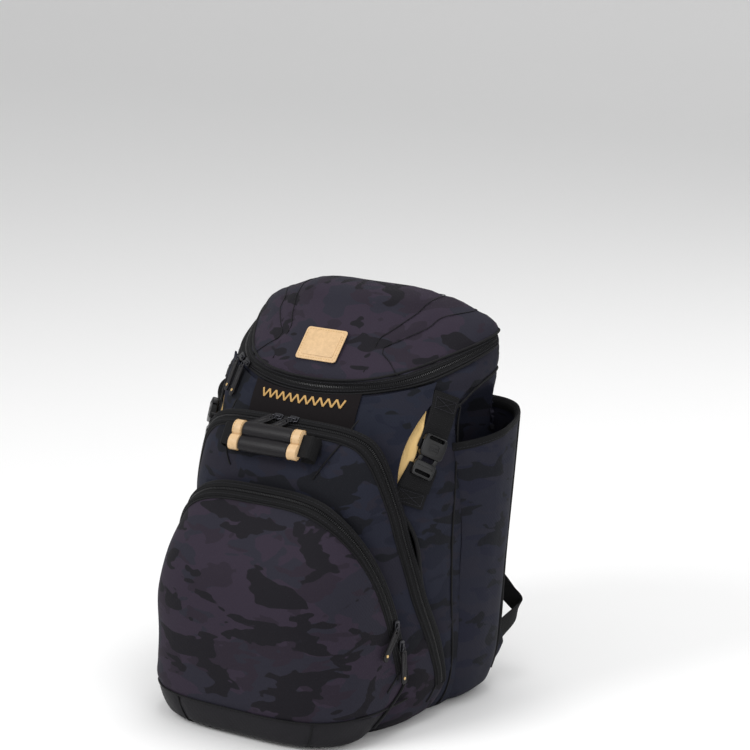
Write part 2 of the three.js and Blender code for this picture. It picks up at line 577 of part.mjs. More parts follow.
// Zipper sliders and their pulls. Each slider sits on its tape and its pull hangs beside the cloth.
// A place on the front of a form is given by its x as a share of half WIDTH, or by its depth on the right.
const frontAngle = (form, { x, depth }, height) => {
  if (depth) return form.angleAtDepth(depth * DEPTH, height);
  const { half, round } = form.section(height, 0);
  const angle = Math.acos(((Math.abs(x) * WIDTH) / 2 / half) ** (round / 2));
  return x < 0 ? angle - Math.PI : -angle;
};
const SLIDER_FORMS = { lid: body, compartment, pocket };
for (const { name, form, place, height, roll, toPlace, toHeight, lift } of SLIDERS) {
  const host = SLIDER_FORMS[form];
  const angle = frontAngle(host, place, height);
  const seat = laidOn(host, height, angle, SLIDER.lift, roll);
  const slider = (more) => put(
    slab(SLIDER.width + more, SLIDER.long + more, SLIDER.thick + more / 2, CORNER), seat);
  add(`slider_${name}`, slider(0).subtract(host.solid(LAYER.tape + GAP)), CLOTH.metal);
  const endAngle = frontAngle(host, toPlace, toHeight);
  const from = host.at(angle, height);
  const up = from.clone().sub(host.at(endAngle, toHeight)).normalize();
  const out = host.normal((angle + endAngle) / 2, (height + toHeight) / 2).projectOnPlane(up).normalize();
  const hang = new THREE.Matrix4().makeBasis(up.clone().cross(out), up, out)
    .setPosition(from.addScaledVector(out, lift));
  const pull = slab(PULL.width, PULL.long, PULL.thick, BIG_CORNER)
    .translate(0, -PULL.long / 2 - PULL.below, 0);
  add(`pull_${name}`, put(pull, hang).subtract(slider(2 * GAP)), CLOTH.leather);
}

// The back: a padded panel, two padded shoulder straps on webbing with ladder locks, and a haul loop.
const onBack = (geometry, x, y, z) => solidOf(geometry.clone().applyMatrix4(new THREE.Matrix4().makeBasis(
  new THREE.Vector3(-1, 0, 0), new THREE.Vector3(0, 0, 1), new THREE.Vector3(0, 1, 0)).setPosition(x, y, z)));
const sleeveRoom = sleeve.solid(MOUTH.proud + GAP);
const padEdge = new THREE.SplineCurve(PAD_OUTLINE.map((row) =>
  new THREE.Vector2((row.half * WIDTH) / 2, row.height * HEIGHT))).getPoints(STRIP_STEPS);
const padShape = new THREE.Shape([...padEdge, ...padEdge.slice(1, -1).reverse().map(({ x, y }) =>
  new THREE.Vector2(-x, y))]);
const padBlock = new THREE.ExtrudeGeometry(padShape, { depth: FAR, bevelEnabled: false });
add("back_pad", shell(body, GAP, PAD.thick).intersect(onBack(padBlock, 0, PAD.from * DEPTH, 0))
  .subtract(sleeveRoom).subtract(mirrored(sleeveRoom)), CLOTH.black);

// A strap through the rows of a table, each with its place, its width, its thickness and the
// direction of its width. The profile is a rounded bar with the given exponent.
const STRAP_ROW = ["out", "behind", "height", "wide", "thick", "sideX", "sideZ"];
const behindBag = ({ out, behind, height }) =>
  new THREE.Vector3((out * WIDTH) / 2, DEPTH + behind, height * HEIGHT);
function strapThrough(rows, { round, sides }) {
  const curve = new THREE.CatmullRomCurve3(rows.map(behindBag));
  const count = (rows.length - 1) * RIBBON.ringsPerRow;
  const rings = Array.from({ length: count + 1 }, (none, i) => {
    const t = i / count;
    const along = curve.getTangent(t);
    const at = Math.min(Math.floor(t * (rows.length - 1)), rows.length - 2);
    const mix = t * (rows.length - 1) - at;
    const value = (name) => THREE.MathUtils.lerp(rows[at][name], rows[at + 1][name], mix);
    const side = new THREE.Vector3(value("sideX"), 0, value("sideZ")).projectOnPlane(along).normalize();
    const out = along.clone().cross(side);
    return Array.from({ length: sides }, (other, k) => {
      const angle = ((k + 0.5) / sides) * 2 * Math.PI;
      return curve.getPoint(t)
        .addScaledVector(side, (value("wide") / 2) * bent(Math.cos(angle), 2 / round))
        .addScaledVector(out, (value("thick") / 2) * bent(Math.sin(angle), 2 / round));
    });
  });
  return solidOf(loft(rings));
}
const shoulder = strapThrough(table(STRAP_ROW, SHOULDER_ROWS), PADDED);
const lockSpot = behindBag(LOCK);
const wingSide = boxOf(EVERY, [-FAR, DEPTH + WING_END], EVERY);
const lowerWebbing = strapThrough(table(STRAP_ROW, WEBBING_ROWS), RIBBON)
  .subtract(boxOf(EVERY, [-FAR, DEPTH + WING_END + GAP], [0, lockSpot.z - LOCK.tall]));
const wing = strapThrough(table(STRAP_ROW, WING_ROWS), RIBBON).intersect(wingSide);
const lockBlock = onBack(slab(LOCK.width, LOCK.tall + 2 * GAP, 4 * LOCK.thick, BIG_CORNER),
  lockSpot.x, lockSpot.y - LOCK.thick, lockSpot.z);
addPair("shoulder_strap", (turn) =>
  turn(shoulder.subtract(lockBlock)).subtract(body.solid(PAD.thick + GAP)), CLOTH.black);
addPair("shoulder_webbing", (turn) => turn(lowerWebbing), CLOTH.black);
addPair("strap_wing", (turn) =>
  turn(wing.subtract(sleeve.solid(GAP))).subtract(body.solid(GAP)), CLOTH.navy);
const slot = new THREE.Path().setFromPoints([[-1, -1], [-1, 1], [1, 1], [1, -1]].map(([u, v]) =>
  new THREE.Vector2(u * LOCK.slotHalf, v * LOCK.slotTall)));
addPair("ladder_lock", (turn) => turn(
  onBack(slab(LOCK.width, LOCK.tall, LOCK.thick, BIG_CORNER, slot), ...lockSpot)), CLOTH.plastic);
const loop = bentStrip(HAUL.path.map(([x, height]) => [x, height * HEIGHT]), HAUL.thick, HAUL.wide);
add("haul_loop", solidOf(loop.applyMatrix4(new THREE.Matrix4().makeBasis(
  new THREE.Vector3(1, 0, 0), new THREE.Vector3(0, 0, 1), new THREE.Vector3(0, -1, 0))
  .setPosition(0, DEPTH + HAUL.behind, 0))).subtract(body.solid(LAYER.lid + GAP)), CLOTH.black);

// The middle of the floor under the bag is the origin.
const bounds = new THREE.Box3().setFromObject(pack);
const middle = bounds.getCenter(new THREE.Vector3());
pack.position.set(-middle.x, -middle.y, -bounds.min.z);
export default pack;
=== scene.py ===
"""A backpack for baseball gear: camouflage cloth shells, zippers, straps, buckles and a badge."""

import math

import bpy
import numpy as np
from mathutils import Matrix, Vector, noise

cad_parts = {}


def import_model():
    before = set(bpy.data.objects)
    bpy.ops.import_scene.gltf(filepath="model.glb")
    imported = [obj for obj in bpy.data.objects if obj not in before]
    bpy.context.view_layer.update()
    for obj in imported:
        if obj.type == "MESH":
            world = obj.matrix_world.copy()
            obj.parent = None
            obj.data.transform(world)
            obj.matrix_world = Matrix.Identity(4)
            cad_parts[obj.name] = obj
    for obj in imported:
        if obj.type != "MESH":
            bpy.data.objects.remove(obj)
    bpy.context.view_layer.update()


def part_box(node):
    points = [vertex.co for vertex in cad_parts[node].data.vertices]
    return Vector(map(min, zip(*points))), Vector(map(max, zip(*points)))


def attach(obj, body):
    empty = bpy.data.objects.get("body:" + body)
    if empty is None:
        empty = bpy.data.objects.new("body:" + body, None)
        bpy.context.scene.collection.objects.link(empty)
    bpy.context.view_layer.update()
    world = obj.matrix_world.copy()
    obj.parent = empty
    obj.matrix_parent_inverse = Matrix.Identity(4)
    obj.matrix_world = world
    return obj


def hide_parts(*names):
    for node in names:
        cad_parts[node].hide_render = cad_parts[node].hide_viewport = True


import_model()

# Driving sizes in metres, as the frame has them. FRONT is where the front pocket's face lies.
HEIGHT, WIDTH, DEPTH = 0.488, 0.345, 0.345
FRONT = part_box("front_pocket")[0].y
MM = 0.001
WALL = 2.5 * MM
BACK_ROUND = 6

# Plan sections from the floor up: height as a share of HEIGHT, half of half WIDTH; front, wide and
# back of DEPTH; round is the exponent of the front corners.
BODY_SECTIONS = [
    (0.0, 0.82, 0.52, 0.7, 0.94, 3),
    (0.02, 0.88, 0.5, 0.7, 0.96, 3),
    (0.08, 0.94, 0.47, 0.7, 0.98, 2.6),
    (0.19, 0.975, 0.42, 0.69, 0.99, 2.6),
    (0.34, 0.985, 0.355, 0.67, 1.0, 2.6),
    (0.47, 1.0, 0.33, 0.65, 1.0, 2.6),
    (0.575, 0.985, 0.355, 0.675, 1.0, 2.2),
    (0.68, 0.965, 0.4, 0.71, 1.0, 2.1),
    (0.745, 0.96, 0.435, 0.74, 0.995, 2),
    (0.8, 0.97, 0.48, 0.81, 0.985, 2),
    (0.825, 0.975, 0.495, 0.84, 0.98, 2),
    (0.875, 0.96, 0.555, 0.91, 0.975, 1.7),
    (0.922, 0.92, 0.62, 0.935, 0.97, 1.5),
    (0.946, 0.81, 0.66, 0.935, 0.965, 1.5),
    (0.968, 0.64, 0.695, 0.925, 0.96, 1.7),
    (0.988, 0.49, 0.72, 0.89, 0.93, 2),
    (1.0, 0.36, 0.75, 0.85, 0.9, 2),
]
COMPARTMENT_SECTIONS = [
    (0.0, 0.8, 0.18, 0.62, 0.9, 3),
    (0.03, 0.9, 0.19, 0.62, 0.9, 3.3),
    (0.09, 0.945, 0.275, 0.62, 0.9, 3.3),
    (0.139, 0.955, 0.313, 0.62, 0.9, 3.3),
    (0.363, 0.93, 0.267, 0.62, 0.9, 3.3),
    (0.467, 0.88, 0.243, 0.62, 0.9, 3.3),
    (0.537, 0.85, 0.229, 0.62, 0.9, 3.3),
    (0.635, 0.79, 0.25, 0.62, 0.9, 3.3),
    (0.678, 0.76, 0.275, 0.62, 0.9, 3.3),
    (0.707, 0.735, 0.307, 0.62, 0.9, 3.3),
    (0.742, 0.69, 0.36, 0.62, 0.9, 3.3),
    (0.762, 0.65, 0.406, 0.62, 0.9, 3.3),
]
POCKET_SECTIONS = [
    (0.0, 0.775, 0.07, 0.49, 0.8, 3.6),
    (0.016, 0.83, 0.028, 0.49, 0.8, 3.6),
    (0.082, 0.89, 0.005, 0.49, 0.8, 3.6),
    (0.139, 0.89, 0.0, 0.49, 0.8, 3.6),
    (0.232, 0.88, 0.0, 0.49, 0.8, 3.6),
    (0.328, 0.855, 0.0, 0.49, 0.8, 3.6),
    (0.42, 0.8, 0.035, 0.49, 0.8, 3.6),
    (0.522, 0.7, 0.13, 0.49, 0.8, 3.6),
    (0.563, 0.64, 0.175, 0.49, 0.8, 3.6),
    (0.594, 0.57, 0.215, 0.49, 0.8, 3.6),
    (0.615, 0.5, 0.25, 0.49, 0.8, 3.6),
]
# Bat sleeves: height, side and reach of half WIDTH, depth and half of DEPTH, then the corner exponents.
HOLLOW_SECTIONS = [
    (0.03, 1.0, 0.16, 0.8, 0.1, 2.5, 2.5),
    (0.07, 1.0, 0.2, 0.8, 0.125, 2.5, 2.5),
    (0.3, 1.0, 0.23, 0.8, 0.13, 2.5, 2.5),
    (0.68, 1.0, 0.235, 0.8, 0.135, 2.5, 2.5),
    (0.75, 1.04, 0.2, 0.8, 0.135, 2.5, 2.5),
    (0.8, 1.1, 0.15, 0.8, 0.12, 2.5, 2.5),
]
SLEEVE_SECTIONS = [
    (0.01, 0.72, 0.18, 0.795, 0.15, 2, 3),
    (0.03, 0.72, 0.24, 0.795, 0.165, 2, 3),
    (0.12, 0.74, 0.3, 0.795, 0.175, 2, 3),
    (0.35, 0.76, 0.345, 0.795, 0.18, 1.8, 2.7),
    (0.55, 0.77, 0.385, 0.8, 0.185, 1.7, 2.7),
    (0.72, 0.77, 0.42, 0.8, 0.187, 1.6, 3),
]
# Seams in side view: shares of DEPTH and HEIGHT.
POCKET_SEAM = [
    (0.12, -0.03), (0.18, 0.0), (0.29, 0.07), (0.385, 0.119), (0.408, 0.143), (0.38, 0.232),
    (0.333, 0.363), (0.284, 0.461), (0.238, 0.537), (0.222, 0.574), (0.2, 0.602), (0.12, 0.635),
]
COMPARTMENT_SEAM = [
    (0.45, -0.04), (0.52, 0.0), (0.58, 0.04), (0.612, 0.087), (0.57, 0.197), (0.493, 0.338),
    (0.455, 0.467), (0.43, 0.568), (0.405, 0.678), (0.385, 0.721), (0.34, 0.75), (0.22, 0.78),
]
LID_SEAM = [(0.3, 0.767), (0.478, 0.812), (0.65, 0.852), (0.82, 0.885), (1.2, 0.953)]
SLIT_SEAM = [(0.38, 0.5), (0.42, 0.54), (0.464, 0.588), (0.533, 0.69), (0.6, 0.78), (0.66, 0.86)]


def blend_rows(rows, share):
    """The rows of a section table at any heights, smooth through their neighbours."""
    rows = np.asarray(rows, float)
    share = np.atleast_1d(np.asarray(share, float))
    last = len(rows) - 1
    i = np.clip(np.searchsorted(rows[1:, 0], share), 0, last - 1)
    a, b, c, d = (rows[np.clip(i + k, 0, last)] for k in (-1, 0, 1, 2))
    span = (c - b)[..., :1]
    t = np.clip((share[..., None] - b[..., :1]) / span, 0, 1)
    slope_in = (c - a) / (c - a)[..., :1] * span
    slope_out = (d - b) / (d - b)[..., :1] * span
    return ((2 * t**3 - 3 * t**2 + 1) * b + (t**3 - 2 * t**2 + t) * slope_in
            + (3 * t**2 - 2 * t**3) * c + (t**3 - t**2) * slope_out)


class Form:
    """A soft form made of rounded plan sections. angle runs round it: -90 degrees is the front's middle."""

    def __init__(self, rows):
        self.rows = rows
        self.low, self.high = rows[0][0], rows[-1][0]

    def lift(self, share, grow):
        return share * HEIGHT + grow * (2 * (share - self.low) / (self.high - self.low) - 1)

    def section(self, share, grow):
        row = blend_rows(self.rows, share)
        half, front, wide, back, rounding = (row[..., k] for k in range(1, 6))
        half = half * WIDTH / 2 + grow
        return half, wide * DEPTH, (wide - front) * DEPTH + grow, (back - wide) * DEPTH + grow, rounding

    def at(self, angle, share, grow=0.0):
        angle, share, grow = (np.asarray(v, float) for v in np.broadcast_arrays(angle, share, grow))
        half, wide, ahead, behind, rounding = self.section(share, grow)
        in_front = np.sin(angle) < 0
        reach = np.where(in_front, ahead, behind)
        power = np.where(in_front, rounding, BACK_ROUND)
        across, along = np.cos(angle), np.sin(angle)
        radius = ((np.abs(across) / half) ** power + (np.abs(along) / reach) ** power) ** (-1 / power)
        return np.stack([radius * across, wide + radius * along + FRONT, self.lift(share, grow)], -1)

    def angle_at_depth(self, depth, share):
        """The angle on the right side where the section reaches a depth in metres from the bag's front."""
        half, wide, ahead, behind, rounding = self.section(share, 0.0)
        reach = np.where(depth < wide, ahead, behind)
        power = np.where(depth < wide, rounding, BACK_ROUND)
        share_out = np.clip(np.abs(wide - depth) / reach, 0, 1)
        x = half * (1 - share_out**power) ** (1 / power)
        return np.arctan2(np.where(depth < wide, -1, 1) * share_out * reach, x)

    def normal(self, angle, share):
        turn = self.at(angle + 0.01, share) - self.at(angle - 0.01, share)
        rise = self.at(angle, share + 0.004) - self.at(angle, share - 0.004)
        out = np.cross(turn, rise)
        return out / np.linalg.norm(out, axis=-1, keepdims=True)


class SideForm(Form):
    """A form at the right side, whose sections lie round their own middle."""

    def at(self, angle, share, grow=0.0):
        angle, share, grow = (np.asarray(v, float) for v in np.broadcast_arrays(angle, share, grow))
        row = blend_rows(self.rows, share)
        side, reach, depth, half, front_round, back_round = (row[..., k] for k in range(1, 7))
        power = np.where(np.sin(angle) < 0, front_round, back_round)
        reach, half = reach * WIDTH / 2 + grow, half * DEPTH + grow
        across, along = np.cos(angle), np.sin(angle)
        radius = ((np.abs(across) / reach) ** power + (np.abs(along) / half) ** power) ** (-1 / power)
        x, y = side * WIDTH / 2 + radius * across, depth * DEPTH + radius * along + FRONT
        return np.stack([x, y, self.lift(share, grow)], -1)


body, compartment, pocket = Form(BODY_SECTIONS), Form(COMPARTMENT_SECTIONS), Form(POCKET_SECTIONS)
hollow, sleeve = SideForm(HOLLOW_SECTIONS), SideForm(SLEEVE_SECTIONS)


def seam_line(seam, shift=0.0, count=400):
    """A seam in side view as points (depth, height) in metres, moved by shift: plus is down and back."""
    points = np.array(seam) * (DEPTH, HEIGHT)
    padded = np.vstack([points[:1], points, points[-1:]])
    t = np.linspace(0, len(points) - 1, count)
    i = np.minimum(t.astype(int), len(points) - 2)
    u = (t - i)[:, None]
    a, b, c, d = (padded[i + k] for k in range(4))
    line = 0.5 * (2 * b + (c - a) * u + (2 * a - 5 * b + 4 * c - d) * u**2 + (3 * b - a - 3 * c + d) * u**3)
    turn = 0.5 * ((c - a) + 2 * (2 * a - 5 * b + 4 * c - d) * u + 3 * (3 * b - a - 3 * c + d) * u**2)
    turn /= np.linalg.norm(turn, axis=1, keepdims=True)
    return line + np.stack([turn[:, 1], -turn[:, 0]], 1) * shift


def seam_path(form, seam, shift=0.0, low=None, back=None, count=200):
    """Angles and shares where a seam meets the right half of a form, from the front's middle outwards."""
    line = seam_line(seam, shift, 4000)
    share = line[:, 1] / HEIGHT
    front = form.section(share, 0.0)
    inside = line[:, 0] > front[1] - front[2]
    if low is not None:
        inside &= share > low
    if back is not None:
        inside &= line[:, 0] < back * DEPTH
    inside &= share < form.high
    line, share = line[inside], share[inside]
    angle = form.angle_at_depth(line[:, 0], share)
    if angle[0] > angle[-1] or share[0] < share[-1] and seam[0][1] < 0.1:
        angle, share = angle[::-1], share[::-1]
    middle = np.linspace(0, 1, 40)[:-1]
    angle = np.concatenate([-math.pi / 2 + middle * (angle[0] + math.pi / 2), angle])
    share = np.concatenate([np.full(39, share[0]), share])
    spots = form.at(angle, share)
    length = np.concatenate([[0], np.cumsum(np.linalg.norm(np.diff(spots, axis=0), axis=1))])
    even = np.linspace(0, length[-1], count)
    return np.interp(even, length, angle), np.interp(even, length, share), length[-1]


def alone(piece):
    """Selects one object and nothing else."""
    bpy.ops.object.select_all(action="DESELECT")
    piece.select_set(True)
    bpy.context.view_layer.objects.active = piece


def modify(piece, kind, **settings):
    """Adds a modifier to a piece and applies it."""
    alone(piece)
    modifier = piece.modifiers.new(kind, kind)
    for name, value in settings.items():
        setattr(modifier, name, value)
    bpy.ops.object.modifier_apply(modifier=modifier.name)


def in_edit(piece, *steps):
    """Runs edit-mode steps on a piece with all of it selected."""
    alone(piece)
    bpy.ops.object.mode_set(mode="EDIT")
    bpy.ops.mesh.select_all(action="SELECT")
    for step in steps:
        step()
    bpy.ops.object.mode_set(mode="OBJECT")


def weld():
    bpy.ops.mesh.remove_doubles(threshold=0.00002)


def face_out():
    bpy.ops.mesh.normals_make_consistent(inside=False)


def soften(piece, degrees=40):
    alone(piece)
    bpy.ops.object.shade_smooth_by_angle(angle=math.radians(degrees))
    return piece


def corners(piece):
    spots = np.zeros(len(piece.data.vertices) * 3, np.float32)
    piece.data.vertices.foreach_get("co", spots)
    return spots.reshape(-1, 3).astype(float)


def set_corners(piece, spots):
    piece.data.vertices.foreach_set("co", np.asarray(spots, np.float32).reshape(-1))
    piece.data.update()


def sheet(name, spots, map_to=None):
    """A grid laid through spots, row by row; map_to gives each spot's place on the cloth in metres."""
    rows, columns = spots.shape[:2]
    bpy.ops.object.select_all(action="DESELECT")
    bpy.ops.mesh.primitive_grid_add(x_subdivisions=columns - 1, y_subdivisions=rows - 1, size=1)
    piece = bpy.context.object
    piece.name = name
    set_corners(piece, spots)
    if map_to is not None:
        index = np.zeros(len(piece.data.loops), np.int32)
        piece.data.loops.foreach_get("vertex_index", index)
        cloth = np.asarray(map_to, np.float32).reshape(-1, 2)[index]
        piece.data.uv_layers[0].data.foreach_set("uv", cloth.reshape(-1))
    return piece


def closed_form(name, form, grow=0.0, columns=200, rows=110, dome=0.0):
    """A form as a closed body, its top rounded up by dome."""
    angle = np.linspace(-math.pi, math.pi, columns + 1)
    rings = [form.at(angle, share, grow) for share in np.linspace(form.low, form.high, rows + 1)]
    bottom, top = rings[0], rings[-1]
    close = np.array([0.0, 0.3, 0.6, 0.85])
    below = [bottom.mean(0) + (bottom - bottom.mean(0)) * k for k in close]
    above = [top.mean(0) + (top - top.mean(0)) * k + (0, 0, dome * (1 - k**2)) for k in close[::-1]]
    piece = sheet(name, np.array(below + rings + above))
    in_edit(piece, weld, face_out)
    return piece


FAR = 0.5


def prism(outline):
    """A cutter: a side-view outline of (depth, height) points drawn out across the bag."""
    outline = np.asarray(outline)
    turns = np.roll(outline, -1, 0)
    area = (outline[:, 0] * turns[:, 1] - turns[:, 0] * outline[:, 1]).sum()
    outline = outline if area > 0 else outline[::-1]
    count = len(outline)
    mesh = bpy.data.meshes.new("cutter")
    ends = [[(x, y + FRONT, z) for y, z in outline] for x in (-FAR, FAR)]
    faces = [list(range(count))[::-1], list(range(count, 2 * count))]
    faces += [[i, (i + 1) % count, count + (i + 1) % count, count + i] for i in range(count)]
    mesh.from_pydata(ends[0] + ends[1], [], faces)
    piece = bpy.data.objects.new("cutter", mesh)
    bpy.context.scene.collection.objects.link(piece)
    in_edit(piece, face_out)
    return piece


CLOTH_FACE, CUT_FACE = 0, 1


def cut(piece, cutter, operation="DIFFERENCE"):
    """Cuts a closed piece by a cutter and marks the faces that the cutter leaves."""
    for thing, index in ((piece, CLOTH_FACE), (cutter, CUT_FACE)):
        while len(thing.data.materials) < 2:
            thing.data.materials.append(None)
        if thing is cutter:
            thing.data.polygons.foreach_set("material_index", [index] * len(thing.data.polygons))
    modify(piece, "BOOLEAN", operation=operation, object=cutter, solver="EXACT", material_mode="INDEX")
    bpy.data.objects.remove(cutter)


def open_cuts(piece):
    """Takes away the faces that cutters left, so that only cloth remains."""
    faces = [f.material_index == CUT_FACE for f in piece.data.polygons]
    alone(piece)
    bpy.ops.object.mode_set(mode="EDIT")
    bpy.ops.mesh.select_all(action="DESELECT")
    bpy.ops.object.mode_set(mode="OBJECT")
    piece.data.polygons.foreach_set("select", faces)
    bpy.ops.object.mode_set(mode="EDIT")
    bpy.ops.mesh.select_mode(type="FACE")
    bpy.ops.object.mode_set(mode="OBJECT")
    piece.data.polygons.foreach_set("select", faces)
    bpy.ops.object.mode_set(mode="EDIT")
    bpy.ops.mesh.delete(type="FACE")
    bpy.ops.mesh.select_all(action="SELECT")
    weld()
    bpy.ops.object.mode_set(mode="OBJECT")


def before(seam, shift=0.0):
    """The cutter that covers what lies in front of a seam."""
    line = seam_line(seam, shift, 160)
    return prism([*line, (-FAR, line[-1][1]), (-FAR, line[0][1])])


def under_lid(shift):
    line = seam_line(LID_SEAM, shift, 120)
    return prism([*line, (FAR, line[-1][1]), (FAR, -FAR), (-FAR, -FAR), (-FAR, line[0][1])])


def whole_path(form, seam, shift=0.0, low=None, back=None, count=200):
    """A seam's path round the front of a form, from its left end to its right end."""
    angle, share, length = seam_path(form, seam, shift, low, back, count)
    angles = np.concatenate([(-math.pi - angle)[::-1], angle[1:]])
    return angles, np.concatenate([share[::-1], share[1:]]), 2 * length


def nearest(spots, line):
    """How far each spot lies from a line of points."""
    best = np.full(len(spots), 1e9)
    for k in range(0, len(line), 40):
        gap = np.linalg.norm(spots[:, None] - line[None, k:k + 40], axis=2).min(1)
        best = np.minimum(best, gap)
    return best


def push(piece, amount):
    """Moves each corner of a piece along its normal by its own amount."""
    normals = np.zeros(len(piece.data.vertices) * 3, np.float32)
    piece.data.vertex_normals.foreach_get("vector", normals)
    set_corners(piece, corners(piece) + normals.reshape(-1, 3) * np.asarray(amount)[:, None])


def ripple(spots, size, seed):
    """Smooth noise from -1 to 1 with folds about size metres apart."""
    shift = Vector((seed * 7.3, seed * 3.1, seed * 5.7))
    return np.array([noise.noise(Vector(p) / size + shift) for p in spots])


def slack(piece, edges, seed, soft=2.2 * MM, pucker=0.7 * MM):
    """Lets cloth sag and pucker: broad waves all over, small ones where a seam pulls it."""
    spots = corners(piece)
    away = np.full(len(spots), 1.0)
    for line in edges:
        away = np.minimum(away, nearest(spots, line))
    calm = 1 - np.exp(-(away / 0.03) ** 2)
    near = np.exp(-(away / 0.022) ** 2) * (1 - np.exp(-(away / 0.004) ** 2))
    broad = ripple(spots, 0.11, seed) + 0.45 * ripple(spots, 0.05, seed + 9)
    push(piece, soft * broad * calm + pucker * ripple(spots * (1, 1, 1.0), 0.016, seed + 4) * near)


def groove(piece, lines, deep=1.3 * MM, wide=5 * MM):
    """Pulls cloth in along its seams, and lets it swell a little beside them."""
    spots = corners(piece)
    amount = np.zeros(len(spots))
    for line in lines:
        away = nearest(spots, line)
        swell_beside = 0.35 * np.exp(-((away - 2.2 * wide) / (1.6 * wide)) ** 2)
        amount += deep * (swell_beside - np.exp(-(away / wide) ** 2))
    push(piece, amount)


def thicken(piece, thick=WALL):
    modify(piece, "SOLIDIFY", thickness=thick, offset=-1, use_even_offset=False)


def dress(piece, finish, node=None):
    """Gives a finished piece its finish and its body, and hides the frame's node that it stands for."""
    piece.data.materials.clear()
    piece.data.materials.append(finish)
    piece.data.polygons.foreach_set("material_index", [0] * len(piece.data.polygons))
    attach(piece, "root")
    if node:
        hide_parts(*([node] if isinstance(node, str) else node))
    return piece


def mirror(piece, name):
    """A copy of a finished piece on the other side."""
    twin = piece.copy()
    twin.data = piece.data.copy()
    twin.name = name
    for key in list(twin.keys()):
        del twin[key]
    bpy.context.scene.collection.objects.link(twin)
    spots = corners(twin) * (-1, 1, 1)
    set_corners(twin, spots)
    twin.data.flip_normals()
    return twin


def tube(name, line, radius, sides=8, closed=False):
    """A round cord through a line of points."""
    line = np.asarray(line, float)
    along = np.gradient(line, axis=0)
    along /= np.linalg.norm(along, axis=1, keepdims=True)
    side = np.cross(along, (0.0, 0.0, 1.0))
    weak = np.linalg.norm(side, axis=1) < 0.05
    side[weak] = np.cross(along[weak], (0.0, 1.0, 0.0))
    side /= np.linalg.norm(side, axis=1, keepdims=True)
    for k in range(1, len(side)):
        side[k] = side[k - 1] - along[k] * np.dot(side[k - 1], along[k])
        side[k] /= np.linalg.norm(side[k])
    out = np.cross(along, side)
    turn = np.linspace(0, 2 * math.pi, sides + 1)[:, None, None]
    rings = line[None] + radius * (np.cos(turn) * side[None] + np.sin(turn) * out[None])
    middle = np.repeat(line[None], sides + 1, 0)
    rings = np.concatenate([middle[:, :1], rings, middle[:, -1:]], 1)
    length = np.concatenate([[0], np.cumsum(np.linalg.norm(np.diff(rings[0], axis=0), axis=1))])
    cloth = np.stack(np.broadcast_arrays(turn[:, :, 0] * radius, length[None]), -1)
    piece = sheet(name, rings, cloth)
    in_edit(piece, weld, face_out)
    return soften(piece, 60)


def spline(points, count=60):
    """A smooth line through points, at even steps."""
    points = np.asarray(points, float)
    padded = np.vstack([2 * points[0] - points[1], points, 2 * points[-1] - points[-2]])
    t = np.linspace(0, len(points) - 1, count * 4)
    i = np.minimum(t.astype(int), len(points) - 2)
    u = (t - i)[:, None]
    a, b, c, d = (padded[i + k] for k in range(4))
    line = 0.5 * (2 * b + (c - a) * u + (2 * a - 5 * b + 4 * c - d) * u**2 + (3 * b - a - 3 * c + d) * u**3)
    length = np.concatenate([[0], np.cumsum(np.linalg.norm(np.diff(line, axis=0), axis=1))])
    even = np.linspace(0, length[-1], count)
    return np.stack([np.interp(even, length, line[:, k]) for k in range(line.shape[1])], 1)


def seam_on(form, places, grow=0.0, count=70):
    """A seam on a form through places given as (degrees round it, share of HEIGHT)."""
    places = spline(np.array(places, float), count)
    return form.at(np.radians(places[:, 0]), places[:, 1], grow)


def join(pieces, name):
    bpy.ops.object.select_all(action="DESELECT")
    for piece in pieces:
        piece.select_set(True)
    bpy.context.view_layer.objects.active = pieces[0]
    bpy.ops.object.join()
    pieces[0].name = name
    return pieces[0]


def along_path(form, angle, share, grow, step, start=0.0):
    """Frames at even steps along a path on a form: spot, along, across (into the form's upside) and out."""
    line = form.at(angle, share, grow)
    length = np.concatenate([[0], np.cumsum(np.linalg.norm(np.diff(line, axis=0), axis=1))])
    even = np.arange(start, length[-1], step)
    angle, share = np.interp(even, length, angle), np.interp(even, length, share)
    spot = np.stack([np.interp(even, length, line[:, k]) for k in range(3)], 1)
    out = form.normal(angle, share)
    along = np.gradient(spot, axis=0)
    along -= out * (along * out).sum(1, keepdims=True)
    along /= np.linalg.norm(along, axis=1, keepdims=True)
    return spot, along, np.cross(out, along), out


def frame_on(form, angle, share, lift=0.0, roll=0.0):
    """A frame on a form: x along its surface, y up it, z out of it, turned by roll degrees."""
    out = Vector(form.normal(np.array([angle]), np.array([share]))[0])
    up = (Vector((0, 0, 1)) - out * out.z).normalized()
    spot = Vector(form.at(np.array([angle]), np.array([share]))[0]) + out * lift
    place = Matrix((up.cross(out), up, out)).transposed().to_4x4()
    place.translation = spot
    return place @ Matrix.Rotation(math.radians(roll), 4, "Z")


def linear(code):
    """A colour written as six hex digits, as the shaders take it."""
    parts = [int(code[k:k + 2], 16) / 255 for k in (0, 2, 4)]
    return [c / 12.92 if c < 0.04045 else ((c + 0.055) / 1.055) ** 2.4 for c in parts] + [1.0]


